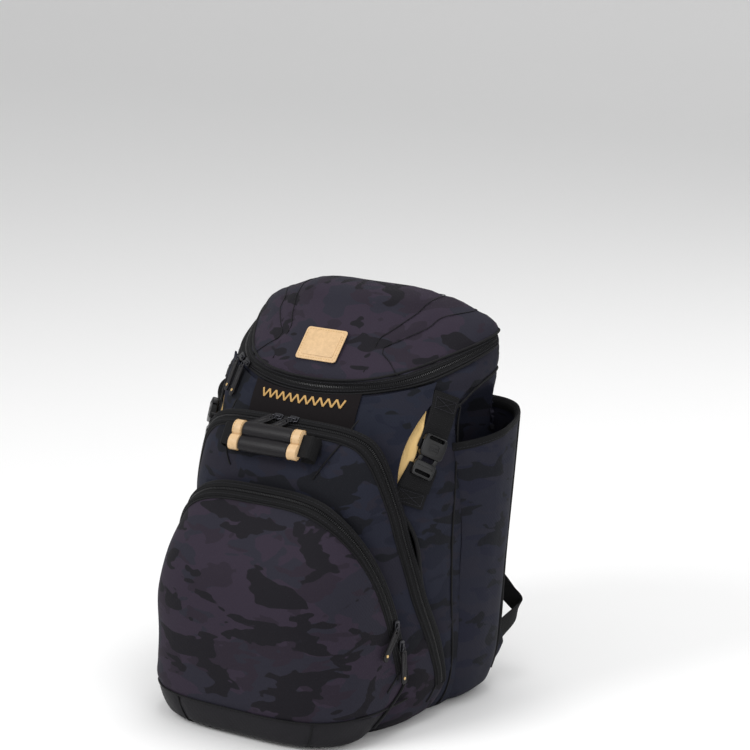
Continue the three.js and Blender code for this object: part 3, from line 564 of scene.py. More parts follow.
class Finish:
    """A material under construction, with short calls for its nodes."""

    def __init__(self, name, rough=0.8, metal=0.0, sheen=0.0, shine=0.16):
        self.material = bpy.data.materials.new(name)
        self.material.use_nodes = True
        self.tree = self.material.node_tree
        self.shader = next(n for n in self.tree.nodes if n.type == "BSDF_PRINCIPLED")
        self.shader.inputs["Roughness"].default_value = rough
        self.shader.inputs["Metallic"].default_value = metal
        self.shader.inputs["Sheen Weight"].default_value = sheen
        self.shader.inputs["Sheen Roughness"].default_value = 0.5
        self.shader.inputs["Specular IOR Level"].default_value = shine
        self.coords = self.node("ShaderNodeTexCoord")

    def node(self, kind, **inputs):
        node = self.tree.nodes.new(kind)
        for key, value in inputs.items():
            self.feed(node, key.replace("_", " "), value)
        return node

    def feed(self, node, key, value):
        socket = node.inputs[int(key[1:])] if key[0] == "i" and key[1:].isdigit() else node.inputs[key]
        if isinstance(value, bpy.types.NodeSocket):
            self.tree.links.new(value, socket)
        else:
            socket.default_value = value

    def place(self, scale=(1, 1, 1), move=(0, 0, 0), flat=False):
        coords = self.coords.outputs["UV" if flat else "Object"]
        return self.node("ShaderNodeMapping", Vector=coords, Scale=scale, Location=move).outputs[0]

    def noise(self, vector, scale, detail=2.0, rough=0.5, twist=0.0):
        node = self.node("ShaderNodeTexNoise", Vector=vector, Scale=scale, Detail=detail, Roughness=rough,
                         Distortion=twist)
        return node.outputs[0]

    def wave(self, vector, pitch, direction="DIAGONAL", twist=0.0):
        node = self.node("ShaderNodeTexWave", Vector=vector, Distortion=twist)
        node.wave_type = "BANDS"
        node.bands_direction = direction
        node.inputs["Scale"].default_value = 0.314159 / pitch * (0.5 if direction == "DIAGONAL" else 1)
        return node.outputs["Fac"]

    def ramp(self, factor, stops, sharp=True):
        node = self.node("ShaderNodeValToRGB", Fac=factor)
        node.color_ramp.interpolation = "LINEAR"
        while len(node.color_ramp.elements) > 1:
            node.color_ramp.elements.remove(node.color_ramp.elements[-1])
        node.color_ramp.elements[0].position = 0.0
        node.color_ramp.elements[0].color = stops[0][1]
        for k in range(1, len(stops)):
            if sharp:
                edge = node.color_ramp.elements.new(stops[k][0] - 0.006)
                edge.color = stops[k - 1][1]
            step = node.color_ramp.elements.new(stops[k][0])
            step.color = stops[k][1]
        return node.outputs[0]

    def math(self, kind, a, b):
        node = self.node("ShaderNodeMath", i0=a, i1=b)
        node.operation = kind
        return node.outputs[0]

    def mix(self, factor, a, b, kind="MIX"):
        node = self.tree.nodes.new("ShaderNodeMix")
        node.data_type = "RGBA"
        node.blend_type = kind
        for key, value in (("Factor", factor), ("A", a), ("B", b)):
            sockets = [s for s in node.inputs if s.name == key and s.enabled]
            if isinstance(value, bpy.types.NodeSocket):
                self.tree.links.new(value, sockets[0])
            else:
                sockets[0].default_value = value
        return next(s for s in node.outputs if s.enabled)

    def bump(self, height, deep, strength=1.0, over=None):
        node = self.node("ShaderNodeBump", Height=height, Strength=strength, Distance=deep)
        if over is not None:
            self.tree.links.new(over, node.inputs["Normal"])
        return node.outputs[0]

    def finish(self, colour, normal=None, rough=None):
        self.feed(self.shader, "Base Color", colour)
        if normal is not None:
            self.feed(self.shader, "Normal", normal)
        if rough is not None:
            self.feed(self.shader, "Roughness", rough)
        return self.material


def camo(name, tones, seed=0.0, size=1.0, rough=0.78):
    """Printed twill: broad lobed blotches in a few close tones, with a fine slanting weave."""
    cloth = Finish(name, rough)
    shade = [linear(tone) for tone in tones]
    colour = shade[0]
    for k, (tone, cover, scale) in enumerate(((1, 0.5, 16.0), (3, 0.55, 19.0), (2, 0.572, 18.0))):
        move = (seed + 2.3 * k, seed * 0.7 - k, seed * 1.3)
        spot = cloth.place(scale=(1.0 / size, 1.0 / size, 2.2 / size), move=move)
        blotch = cloth.noise(spot, scale, 2.2, 0.52, 0.35)
        edge = cloth.ramp(blotch, [(0.0, (0.0, 0.0, 0.0, 1.0)), (cover, (1.0, 1.0, 1.0, 1.0))])
        colour = cloth.mix(edge, colour, shade[tone])
    fine = cloth.noise(cloth.place(), 900.0, 2.0, 0.6)
    speck = cloth.ramp(fine, [(0.0, (0.86, 0.86, 0.86, 1.0)), (1.0, (1.14, 1.14, 1.14, 1.0))], sharp=False)
    colour = cloth.mix(1.0, colour, speck, "MULTIPLY")
    warp = cloth.wave(cloth.place(), 1.3 * MM)
    weft = cloth.wave(cloth.place(scale=(1, 1, -1)), 1.3 * MM)
    weave = cloth.math("MULTIPLY", warp, weft)
    crease = cloth.noise(cloth.place(), 60.0, 3.0, 0.55, 0.6)
    normal = cloth.bump(crease, 0.9 * MM, 0.35)
    normal = cloth.bump(weave, 0.18 * MM, 0.5, normal)
    return cloth.finish(colour, normal)


def webbing_cloth(name, tone, pitch=1.9 * MM, rough=0.72, ribs=True):
    """Tape and webbing: cross ribs and lengthwise yarns, laid by the piece's own map, with painted shade that
    darkens the grooves between them.
    """
    cloth = Finish(name, rough)
    flat = cloth.place(flat=True)
    cross = cloth.wave(flat, pitch, "X")
    yarn = cloth.wave(flat, pitch * 0.62, "Y")
    weave = cloth.math("MULTIPLY", cross, yarn)
    shade = linear(tone)
    # Painted shade: the colour goes darker in the grooves of the weave, where the bump below sinks.
    dark = [c * 0.55 for c in shade[:3]] + [1.0]
    colour = cloth.mix(weave, dark, shade)
    return cloth.finish(colour, cloth.bump(weave, 0.35 * MM, 0.8))


def plain_cloth(name, tone, rough=0.75, grain=1.1 * MM, deep=0.2 * MM, sheen=0.08):
    """Plain black cloth with a fine grain laid in space."""
    cloth = Finish(name, rough, sheen=sheen * 0.3)
    warp = cloth.wave(cloth.place(), grain)
    weft = cloth.wave(cloth.place(scale=(1, 1, -1)), grain)
    weave = cloth.math("MULTIPLY", warp, weft)
    shade = linear(tone)
    cloud = cloth.noise(cloth.place(), 30.0, 3.0, 0.5)
    dark = [c * 0.75 for c in shade[:3]] + [1.0]
    colour = cloth.mix(cloud, dark, [c * 1.2 for c in shade[:3]] + [1.0])
    return cloth.finish(colour, cloth.bump(weave, deep, 0.5))


def leather(name, tone, rough=0.45, cells=620.0, deep=0.25 * MM, shine=0.3):
    """Leather with a pebbled grain, and painted shade that makes it a little darker in its creases."""
    hide = Finish(name, rough, shine=shine)
    cell = hide.node("ShaderNodeTexVoronoi", Vector=hide.place(), Scale=cells)
    cell.feature = "F1"
    grain = cell.outputs["Distance"]
    fine = hide.noise(hide.place(), 240.0, 4.0, 0.6)
    shade = linear(tone)
    # Painted shade: the colour goes darker where the fine noise dips, which the bump below makes the creases.
    dark = [c * 0.7 for c in shade[:3]] + [1.0]
    colour = hide.mix(fine, dark, [c * 1.15 for c in shade[:3]] + [1.0])
    normal = hide.bump(grain, -deep, 0.5)
    normal = hide.bump(fine, deep, 0.4, normal)
    return hide.finish(colour, normal)


def moulded(name, tone, rough=0.42, metal=0.0):
    """Moulded or painted surfaces with a faint orange-peel texture, whose hollows carry a faint painted
    shade.
    """
    skin = Finish(name, rough, metal, shine=0.3)
    fine = skin.noise(skin.place(), 500.0, 2.0, 0.5)
    shade = linear(tone)
    # Painted shade: the colour goes a little darker where the fine noise dips, which the bump makes the
    # orange-peel hollows.
    dark = [c * 0.9 for c in shade[:3]] + [1.0]
    colour = skin.mix(fine, dark, [c * 1.08 for c in shade[:3]] + [1.0])
    return skin.finish(colour, skin.bump(fine, 0.05 * MM, 0.4))


def satin(name, tone):
    """Shiny lining cloth with slack, sidelong creases, and painted shade that darkens their hollows."""
    cloth = Finish(name, 0.36, shine=0.4)
    crease = cloth.noise(cloth.place(scale=(1, 1, 0.4)), 130.0, 2.0, 0.5, 0.7)
    yarn = cloth.wave(cloth.place(), 0.9 * MM)
    shade = linear(tone)
    # Painted shade: the colour goes darker in the hollows of the creases that the bump below makes.
    dark = [c * 0.8 for c in shade[:3]] + [1.0]
    colour = cloth.mix(crease, dark, shade)
    normal = cloth.bump(crease, 1.6 * MM, 0.6)
    return cloth.finish(colour, cloth.bump(yarn, 0.08 * MM, 0.4, normal))


MAUVE = ("2a232f", "22212b", "131117", "231d27")
NAVY = ("1c1e2a", "1e1d27", "101117", "171925")
mauve = camo("mauve_camo", MAUVE, 0.0)
mauve_pocket = camo("mauve_pocket_camo", MAUVE, 3.1)
navy = camo("navy_camo", NAVY, 1.7)
# navy_front is the navy camo made a little darker: painted shade from the lid's overhang on the front panel.
navy_front = camo("navy_front_camo", ("1a1d29", "1c1d28", "0f1117", "151825"), 5.3)
navy_sleeve = camo("navy_sleeve_camo", ("1f202b", "21212b", "13141a", "1b1c29"), 8.2)
tape_cloth = webbing_cloth("zipper_tape", "121214")
strap_cloth = webbing_cloth("webbing", "141416", 2.4 * MM)
boot_cloth = plain_cloth("coated_cloth", "18171b", 0.6, 1.6 * MM, 0.25 * MM)
pad_cloth = plain_cloth("padding_mesh", "131315", 0.85, 2.6 * MM, 0.5 * MM, 0.2)
edge_cloth = plain_cloth("edge_binding", "101012", 0.7, 0.9 * MM, 0.15 * MM)
thread = plain_cloth("thread", "232328", 0.65, 0.6 * MM, 0.1 * MM)
gold_thread = plain_cloth("gold_thread", "b8935a", 0.5, 0.6 * MM, 0.15 * MM, 0.0)
black_leather = leather("black_leather", "121013", 0.45, shine=0.22)
name_leather = leather("name_leather", "120e10", 0.7, 900.0, 0.12 * MM, 0.1)
gold_leather = leather("gold_leather", "cfae84", 0.4, 800.0, 0.12 * MM)
gold_satin = satin("gold_satin", "dcb877")
plastic = moulded("black_plastic", "0c0c0e", 0.36)
coil_nylon = moulded("coil_nylon", "151517", 0.35)
dark_metal = moulded("dark_metal", "3a3a3e", 0.3, 0.85)
gold_metal = moulded("gold_metal", "d9b77e", 0.28, 0.9)

LID_BAND = 10.5 * MM


def finish_panel(piece, seams, seed, deep=1.3 * MM, soft=2.2 * MM, pucker=0.7 * MM, thick=WALL):
    """Leaves cloth only, lets it sag and pull in at its seams, and gives it thickness."""
    open_cuts(piece)
    slack(piece, seams, seed, soft, pucker)
    groove(piece, seams, deep)
    thicken(piece, thick)
    return soften(piece, 50)


def path_on(form, seam, shift=0.0, grow=0.0, low=None, back=None, count=240):
    angle, share, length = whole_path(form, seam, shift, low, back, count)
    return form.at(angle, share, grow)


pocket_rim = path_on(pocket, POCKET_SEAM)
compartment_rim = path_on(compartment, COMPARTMENT_SEAM)
body_rim = path_on(body, COMPARTMENT_SEAM)
lid_rim = path_on(body, LID_SEAM)
lid_low_rim = path_on(body, LID_SEAM, LID_BAND)

# The main bag: a tub under the lid, with a hollow for a bat in each side.
V_SEAM = [(-34, 0.816), (-21.3, 0.788), (-9.5, 0.7625), (-3.2, 0.79), (6.5, 0.8135), (16, 0.83)]
SIDE_SEAM = [(-9.5, 0.7625), (-5.9, 0.74), (-4.1, 0.55), (-6.3, 0.268), (-5.9, 0.101), (-8, 0.01)]
v_line, side_line = seam_on(body, V_SEAM), seam_on(body, SIDE_SEAM, count=120)
flip = np.array([-1.0, 1.0, 1.0])
bag = closed_form("pack_body_cloth", body, 0.0, 220, 120)
cut(bag, under_lid(0.0), "INTERSECT")
cut(bag, before(COMPARTMENT_SEAM, 0.3 * MM))
side_bag = closed_form("hollow_right", hollow, 0.0, 64, 60)
for turn in (1, -1):
    core = side_bag if turn == 1 else mirror(side_bag, "hollow_left")
    core.data.materials.clear()
    core.data.materials.append(None)
    core.data.materials.append(None)
    modify(bag, "BOOLEAN", operation="DIFFERENCE", object=core, solver="EXACT", material_mode="INDEX")
    if turn == -1:
        bpy.data.objects.remove(core)
bpy.data.objects.remove(side_bag)
body_seams = [v_line, v_line * flip, side_line, side_line * flip]
finish_panel(bag, [lid_rim, body_rim, *body_seams], 3, 1.2 * MM, 1.8 * MM, 0.5 * MM)
dress(bag, navy, "pack_body")

# The lid: a soft dome with a raised band of zipper under its edge.
lid_lift = 2 * MM
LID_HIGH = [(24, 0.972), (4, 0.983), (-17.1, 0.977), (-33.9, 0.954), (-51.7, 0.9205), (-58.5, 0.898),
            (-60.1, 0.84)]
LID_LOW = [(24, 0.944), (4, 0.953), (-18.2, 0.949), (-31.1, 0.927), (-45.0, 0.905), (-55.1, 0.885),
           (-49.1, 0.86), (-42.5, 0.833)]
lid_seams = [seam_on(body, line, lid_lift) for line in (LID_HIGH, LID_LOW)]
lid_seams += [line * flip for line in lid_seams]
lid = closed_form("lid_cloth", body, lid_lift, 220, 120, dome=5 * MM)
cut(lid, under_lid(-0.3 * MM))
finish_panel(lid, [lid_rim, *lid_seams], 11, 1.5 * MM, 2.0 * MM, 0.6 * MM)
dress(lid, mauve, "lid")

def slit_way(line):
    """How open the slit is along its line, from 0 at its ends to 1."""
    way = np.clip((line[:, 1] / HEIGHT - 0.55) / (0.775 - 0.55), 0, 1)
    return np.sin(math.pi * way) ** 0.75


def before_slit(gape=11 * MM):
    """The cutter for what lies in front of the slits, whose edge bows forward and lets the lining show."""
    line = seam_line(SLIT_SEAM, 0.0, 160)
    step = np.gradient(line, axis=0)
    step /= np.linalg.norm(step, axis=1, keepdims=True)
    aside = np.stack([step[:, 1], -step[:, 0]], 1)
    line = line - aside * gape * slit_way(line)[:, None]
    return prism([*line, (-FAR, line[-1][1]), (-FAR, line[0][1])])


# The front panel between the lid and the compartment, open at a slit on each side.
panel_lift = 5 * MM
panel = closed_form("front_panel_cloth", body, panel_lift, 220, 120)
cut(panel, under_lid(LID_BAND + 0.3 * MM), "INTERSECT")
cut(panel, before_slit(), "INTERSECT")
cut(panel, before(COMPARTMENT_SEAM, 0.3 * MM))
finish_panel(panel, [lid_low_rim, body_rim], 17, 0.9 * MM, 1.0 * MM, 0.5 * MM)
# The front panel's darker navy camo is painted shade from the lid above it.
dress(panel, navy_front, "front_panel")

# The front compartment, with a gusset of the pocket's cloth low on each side.
GUSSET = [(-24.2, 0.183), (-17.5, 0.215)]
PIPED = [(-40, 0.75), (-45.0, 0.733), (-56.8, 0.677), (-65.3, 0.622)]
gusset_turn = np.radians([turn for turn, share in GUSSET])
gusset_front, gusset_back = compartment.at(gusset_turn, [share for turn, share in GUSSET])
slope = (gusset_back - gusset_front)[1:] / np.linalg.norm((gusset_back - gusset_front)[1:])
start = gusset_front[1:] - (FRONT, 0)
gusset_line = [tuple(start - slope * 0.25), tuple(start + slope * 0.3)]
under_gusset = [*gusset_line, (0.6, -0.3), (-0.3, -0.3)]
piped_line = seam_on(compartment, PIPED)
gusset_seam = seam_on(compartment, [(-30, 0.1655), *GUSSET, (-12, 0.24)])
compartment_seams = [piped_line, piped_line * flip, gusset_seam, gusset_seam * flip]
front = closed_form("front_compartment_cloth", compartment, 0.0, 220, 110)
cut(front, before(COMPARTMENT_SEAM, 0.0), "INTERSECT")
gusset = front.copy()
gusset.data = front.data.copy()
gusset.name = "gusset_cloth"
bpy.context.scene.collection.objects.link(gusset)
cut(front, prism(under_gusset))
cut(gusset, prism(under_gusset), "INTERSECT")
finish_panel(front, [compartment_rim, pocket_rim, *compartment_seams], 23, 1.2 * MM, 1.8 * MM, 0.6 * MM)
dress(front, navy, "front_compartment")
finish_panel(gusset, [compartment_rim, pocket_rim, gusset_seam, gusset_seam * flip], 29, 1.2 * MM, 1.2 * MM)
dress(gusset, mauve_pocket)

# The front pocket, with a boot of coated cloth round its foot.
BOOT_HEIGHT, BOOT_SLOPE = 0.08 * HEIGHT, 0.06
over_boot = [(-0.3, BOOT_HEIGHT + 0.3 * BOOT_SLOPE), (0.6, BOOT_HEIGHT - 0.6 * BOOT_SLOPE),
             (0.6, 1), (-0.3, 1)]
boot_seam = seam_on(pocket, [(angle, 0.0785) for angle in range(-176, 0, 12)], count=200)
BOOT_LEFT, BOOT_RIGHT = [(-116.4, 0.079), (-114.3, 0.006)], [(-55.3, 0.079), (-57.1, 0.006)]
boot_lines = [seam_on(pocket, [a, b], count=30) for a, b in (BOOT_LEFT, BOOT_RIGHT)]
front_bag = closed_form("front_pocket_cloth", pocket, 0.0, 220, 110)
cut(front_bag, before(POCKET_SEAM, 0.0), "INTERSECT")
boot = front_bag.copy()
boot.data = front_bag.data.copy()
boot.name = "base_boot_cloth"
bpy.context.scene.collection.objects.link(boot)
cut(front_bag, prism(over_boot), "INTERSECT")
cut(boot, prism(over_boot))
finish_panel(front_bag, [pocket_rim, boot_seam], 31, 1.3 * MM, 2.6 * MM, 0.8 * MM)
dress(front_bag, mauve_pocket, "front_pocket")
finish_panel(boot, [pocket_rim, boot_seam, *boot_lines], 37, 1.0 * MM, 1.2 * MM, 0.4 * MM)
dress(boot, boot_cloth, "base_boot")

# The bat sleeves at the sides, with a bound mouth.
MOUTH_FRONT, MOUTH_BACK = (0.62, 0.672), (0.97, 0.735)


def mouth_share(depth, drop=0.0):
    rise = (MOUTH_BACK[1] - MOUTH_FRONT[1]) / (MOUTH_BACK[0] - MOUTH_FRONT[0])
    return MOUTH_FRONT[1] + rise * (depth / DEPTH - MOUTH_FRONT[0]) - drop / HEIGHT


outer = closed_form("sleeve_cloth_right", sleeve, 0.0, 120, 90)
mouth_outline = [(d * DEPTH, mouth_share(d * DEPTH, 8 * MM) * HEIGHT) for d in (-0.5, 1.6)]
cut(outer, prism([*mouth_outline, (1.6 * DEPTH, -0.3), (-0.5 * DEPTH, -0.3)]), "INTERSECT")
cut(outer, closed_form("inner_body", body, 0.3 * MM, 160, 90))
mouth_turn = np.radians(np.arange(-150, 151, 2.0))
rim_share = np.full(len(mouth_turn), 0.69)
for step in range(6):
    rim_share = mouth_share(sleeve.at(mouth_turn, rim_share)[:, 1] - FRONT)
rim = sleeve.at(mouth_turn, rim_share)
body_half = body.at(body.angle_at_depth(rim[:, 1] - FRONT, rim_share), rim_share)[:, 0]
free = (rim[:, 0] > body_half - 0.5 * MM) & (np.abs(mouth_turn) < 2.0)
rim = rim[free]
finish_panel(outer, [rim], 41, 0.8 * MM, 1.8 * MM, 0.5 * MM)
dress(outer, navy_sleeve, "sleeve_right")
dress(mirror(outer, "sleeve_cloth_left"), navy_sleeve, "sleeve_left")


def angle_at_x(form, x, share):
    """The angle at the front of a form where it is x metres from the middle."""
    half, wide, ahead, behind, rounding = (float(v) for v in np.ravel(form.section(np.array([share]), 0.0)))
    reach = ahead * (1 - (abs(x) / half) ** rounding) ** (1 / rounding)
    return math.atan2(-reach, x)


def on_side(form, spots, grow=0.0):
    """Points of the right side of a form from their side view (depth, height) in metres."""
    spots = np.asarray(spots, float)
    share = spots[..., 1] / HEIGHT
    return form.at(form.angle_at_depth(spots[..., 0], share), share, grow)


def closed_strip(name, rows, cloth):
    """A closed strip: rows[k] is the line that profile point k draws; both ends are closed."""
    loop = np.concatenate([rows, rows[:1]])
    cloth = np.concatenate([cloth, cloth[:1] + (0.0, 0.004)])
    middle = np.repeat(loop[:-1].mean(0)[None], len(loop), 0)
    loop = np.concatenate([middle[:, :1], loop, middle[:, -1:]], 1)
    cloth = np.concatenate([cloth[:, :1], cloth, cloth[:, -1:]], 1)
    piece = sheet(name, loop, cloth)
    in_edit(piece, weld, face_out)
    return piece


TAPE = [(0.0, 0.3), (0.4, 1.5), (1.3, 2.2), (2.4, 2.4), (3.5, 1.8), (4.5, 2.2), (5.3, 1.9), (5.8, 0.9),
        (8.2, 0.9), (8.7, 1.9), (9.5, 2.2), (10.5, 1.8), (11.6, 2.4), (12.7, 2.2), (13.6, 1.5), (14.0, 0.3),
        (13.8, 0.05), (0.2, 0.05)]


def tooth_unit():
    """One coil loop, modelled once: a small rounded bar."""
    bpy.ops.object.select_all(action="DESELECT")
    bpy.ops.mesh.primitive_cube_add(size=1)
    unit = bpy.context.object
    set_corners(unit, corners(unit) * (1.5 * MM, 3.2 * MM, 1.2 * MM))
    modify(unit, "BEVEL", width=0.35 * MM, segments=1)
    return unit


def stitch_unit():
    """One stitch, modelled once: a short thread that dips in at both ends."""
    bpy.ops.object.select_all(action="DESELECT")
    bpy.ops.mesh.primitive_cube_add(size=1)
    unit = bpy.context.object
    in_edit(unit, lambda: bpy.ops.mesh.subdivide(number_cuts=1))
    spots = corners(unit)
    spots *= (2.7 * MM, 0.6 * MM, 0.5 * MM)
    spots[:, 2] -= np.abs(spots[:, 0]) * 0.25
    set_corners(unit, spots)
    return unit


def repeat(name, unit, frames, scale=1.0):
    """Copies of a small unit at many frames (spot, along, across, out), joined in one mesh."""
    spot, along, across, out = frames
    local = corners(unit) * scale
    faces = [list(f.vertices) for f in unit.data.polygons]
    count = len(local)
    places = (spot[:, None] + along[:, None] * local[None, :, :1] + across[:, None] * local[None, :, 1:2]
              + out[:, None] * local[None, :, 2:])
    mesh = bpy.data.meshes.new(name)
    mesh.from_pydata(places.reshape(-1, 3).tolist(), [],
                     [[count * k + i for i in face] for k in range(len(spot)) for face in faces])
    piece = bpy.data.objects.new(name, mesh)
    bpy.context.scene.collection.objects.link(piece)
    return soften(piece, 40)


tooth, stitch = tooth_unit(), stitch_unit()


def zipper(name, form, seam, toward, node, low=None, back=None, grow=0.0, wide=1.0):
    """A zipper along a seam: two ridged tapes, the coil between them and their stitches."""
    rows, cloth = [], []
    for across, height in TAPE:
        angle, share, length = whole_path(form, seam, toward * (0.3 + across * wide) * MM, low, back, 260)
        rows.append(form.at(angle, share, grow + height * MM))
        cloth.append(np.stack([np.linspace(0, length, len(angle)), np.full(len(angle), across * MM)], 1))
    tape = soften(closed_strip(name + "_tape", np.array(rows), np.array(cloth)), 50)
    dress(tape, tape_cloth, node)
    angle, share, length = whole_path(form, seam, toward * (0.3 + 7.0 * wide) * MM, low, back, 400)
    teeth = repeat(name + "_coil", tooth, along_path(form, angle, share, grow + 1.3 * MM, 2.3 * MM, 4 * MM))
    dress(teeth, coil_nylon)
    seams = []
    for across in (2.6, 11.6):
        angle, share, length = whole_path(form, seam, toward * (0.3 + across * wide) * MM, low, back, 400)
        frames = along_path(form, angle, share, grow + 2.35 * MM, 4.0 * MM, 3 * MM)
        seams.append(repeat(name + "_stitches", stitch, frames))
    dress(join(seams, name + "_stitches"), thread)


zipper("lid_zipper", body, LID_SEAM, 1, "lid_zipper", back=0.93, wide=0.73)
zipper("compartment_zipper", compartment, COMPARTMENT_SEAM, -1, "compartment_zipper", low=0.088, wide=1.45)
zipper("pocket_zipper", pocket, POCKET_SEAM, -1, "pocket_zipper", low=0.155, wide=1.3)


def piping(name, line, radius=1.3 * MM, finish=None):
    return dress(tube(name, line, radius), finish or edge_cloth)


piping("lid_piping", path_on(body, LID_SEAM, -0.8 * MM, 1.6 * MM, count=300), 1.7 * MM)
lid_lower_line = path_on(body, LID_SEAM, LID_BAND + 0.8 * MM, 1.2 * MM, back=0.93, count=300)
piping("lid_lower_piping", lid_lower_line, 1.5 * MM)
piping("compartment_piping", path_on(compartment, COMPARTMENT_SEAM, -21.4 * MM, 0.2 * MM, low=0.05), 1.3 * MM)
piping("pocket_piping", path_on(pocket, POCKET_SEAM, -19.3 * MM, 0.2 * MM, low=0.12), 1.3 * MM)
piping("compartment_edge", path_on(body, COMPARTMENT_SEAM, 1.6 * MM, 0.6 * MM, low=0.02), 2.4 * MM)
piping("pocket_edge", path_on(pocket, POCKET_SEAM, -0.4 * MM, 0.6 * MM, low=0.04), 1.7 * MM)
for k, line in enumerate(lid_seams):
    piping(f"lid_seam_cord_{k}", line, 0.45 * MM, edge_cloth)
for side, line in (("right", piped_line), ("left", piped_line * flip)):
    piping(f"front_piping_{side}", line, 0.9 * MM)
for side, turn in (("right", np.ones(3)), ("left", flip)):
    piping(f"v_seam_piping_{side}", v_line * turn, 1.2 * MM)
    piping(f"side_seam_piping_{side}", side_line * turn, 1.2 * MM)
piping("boot_piping", boot_seam, 1.2 * MM)
for line, side in zip(boot_lines, ("left", "right")):
    piping(f"boot_seam_{side}", line, 0.9 * MM)


def stitches_along(name, line, out, step=4.0 * MM, finish=None, scale=1.0):
    """Stitches along a line of points, each standing off along out."""
    line, out = np.asarray(line, float), np.asarray(out, float)
    length = np.concatenate([[0], np.cumsum(np.linalg.norm(np.diff(line, axis=0), axis=1))])
    even = np.arange(step / 2, length[-1], step)
    spot = np.stack([np.interp(even, length, line[:, k]) for k in range(3)], 1)
    normal = np.stack([np.interp(even, length, out[:, k]) for k in range(3)], 1)
    normal /= np.linalg.norm(normal, axis=1, keepdims=True)
    along = np.gradient(spot, axis=0)
    along -= normal * (along * normal).sum(1, keepdims=True)
    along /= np.linalg.norm(along, axis=1, keepdims=True)
    piece = repeat(name, stitch, (spot, along, np.cross(normal, along), normal), scale)
    return dress(piece, finish or thread)


# The name panel, bare but for a row of gold chevrons.
zip_top = seam_line(COMPARTMENT_SEAM, 0.3 * MM, 600)
zip_top = zip_top[np.argsort(zip_top[:, 0])]
zip_top = zip_top[zip_top[:, 1] > 0.5 * HEIGHT]
lid_edge = seam_line(LID_SEAM, LID_BAND + 0.3 * MM, 400)
columns = []
for x in np.linspace(-70 * MM, 70 * MM, 60):
    share = np.linspace(0.7, 0.86, 161)
    angle = np.array([angle_at_x(body, x, s) for s in share])
    skin = body.at(angle, share, 7.0 * MM)
    below = body.at(angle, share, 2.0 * MM)
    depth, height = below[:, 1] - FRONT, below[:, 2]
    shown = (height > np.interp(depth, zip_top[:, 0], zip_top[:, 1])) & (
        height < np.interp(depth, lid_edge[:, 0], lid_edge[:, 1]))
    spots = skin[shown]
    pick = np.linspace(0, len(spots) - 1, 16)
    columns.append(np.stack([np.interp(pick, np.arange(len(spots)), spots[:, k]) for k in range(3)], 1))
name_panel = sheet("name_panel_skin", np.array(columns).transpose(1, 0, 2))
thicken(name_panel, 1.6 * MM)
dress(soften(name_panel, 50), name_leather, "name_panel")


def bar_unit(size, soft):
    bpy.ops.object.select_all(action="DESELECT")
    bpy.ops.mesh.primitive_cube_add(size=1)
    unit = bpy.context.object
    set_corners(unit, corners(unit) * size)
    modify(unit, "BEVEL", width=soft, segments=2)
    return unit


bar = bar_unit((11.5 * MM, 2.4 * MM, 1.0 * MM), 0.4 * MM)
chevrons = []
CHEVRON_SHARE, LEAN = 0.7655, math.radians(62)
for k in range(11):
    for half_turn in (-1, 1):
        x = (-50 + 10 * k + 2.5 * half_turn) * MM
        angle = angle_at_x(body, x, CHEVRON_SHARE)
        out = body.normal(np.array([angle]), np.array([CHEVRON_SHARE]))[0]
        up = np.array((0, 0, 1)) - out * out[2]
        up /= np.linalg.norm(up)
        right = np.cross(up, out)
        along = math.cos(LEAN) * right + half_turn * math.sin(LEAN) * up
        spot = body.at(np.array([angle]), np.array([CHEVRON_SHARE]), 7.6 * MM)[0]
        chevrons.append((spot, along, np.cross(out, along), out))
ornament = repeat("name_panel_chevrons", bar, tuple(np.array(v) for v in zip(*chevrons)))
dress(ornament, gold_thread)

# The gold lining that shows in the slits.
slit_line = seam_line(SLIT_SEAM, 0.0, 300)
lid_under = seam_line(LID_SEAM, LID_BAND, 300)
behind_zip = seam_line(COMPARTMENT_SEAM, 0.3 * MM, 600)
behind_zip = behind_zip[behind_zip[:, 1] > 0.2 * HEIGHT]
open_part = slit_line[:, 1] < np.interp(slit_line[:, 0], lid_under[:, 0], lid_under[:, 1]) - 7 * MM
order = np.argsort(behind_zip[:, 1])
rim_depth = np.interp(slit_line[:, 1], behind_zip[order, 1], behind_zip[order, 0])
slit_line = slit_line[open_part & (slit_line[:, 0] > rim_depth + 1 * MM)]
step = np.gradient(slit_line, axis=0)
step /= np.linalg.norm(step, axis=1, keepdims=True)
aside = np.stack([step[:, 1], -step[:, 0]], 1)
way = np.linspace(0, 1, len(slit_line))[:, None]
swell = slit_way(slit_line)[:, None]
rows, cloth = [], []
LINING_PROFILE = [(-1.0, 0.2), (-0.6, 0.7), (-0.1, 1.6), (0.35, 2.4), (0.8, 2.0), (1.0, 0.5), (0.9, 0.1),
                  (-0.9, 0.1)]
for k, (across, height) in enumerate(LINING_PROFILE):
    reach = np.where(across < 0, 2 * MM + 12 * MM * swell, 0.2 * MM + 2.4 * MM * swell)
    wave = 0.5 * MM * np.sin(way[:, 0] * 34 + k) * (0 if height < 1 else 1)
    rows.append(on_side(body, slit_line + aside * across * reach, height * MM + wave))
    cloth.append(np.concatenate([way * 0.15, np.full_like(way, across * 0.01)], 1))
lining = soften(closed_strip("lining_cloth_right", np.array(rows), np.array(cloth)), 60)
dress(lining, gold_satin, "lining_right")
dress(mirror(lining, "lining_cloth_left"), gold_satin, "lining_left")


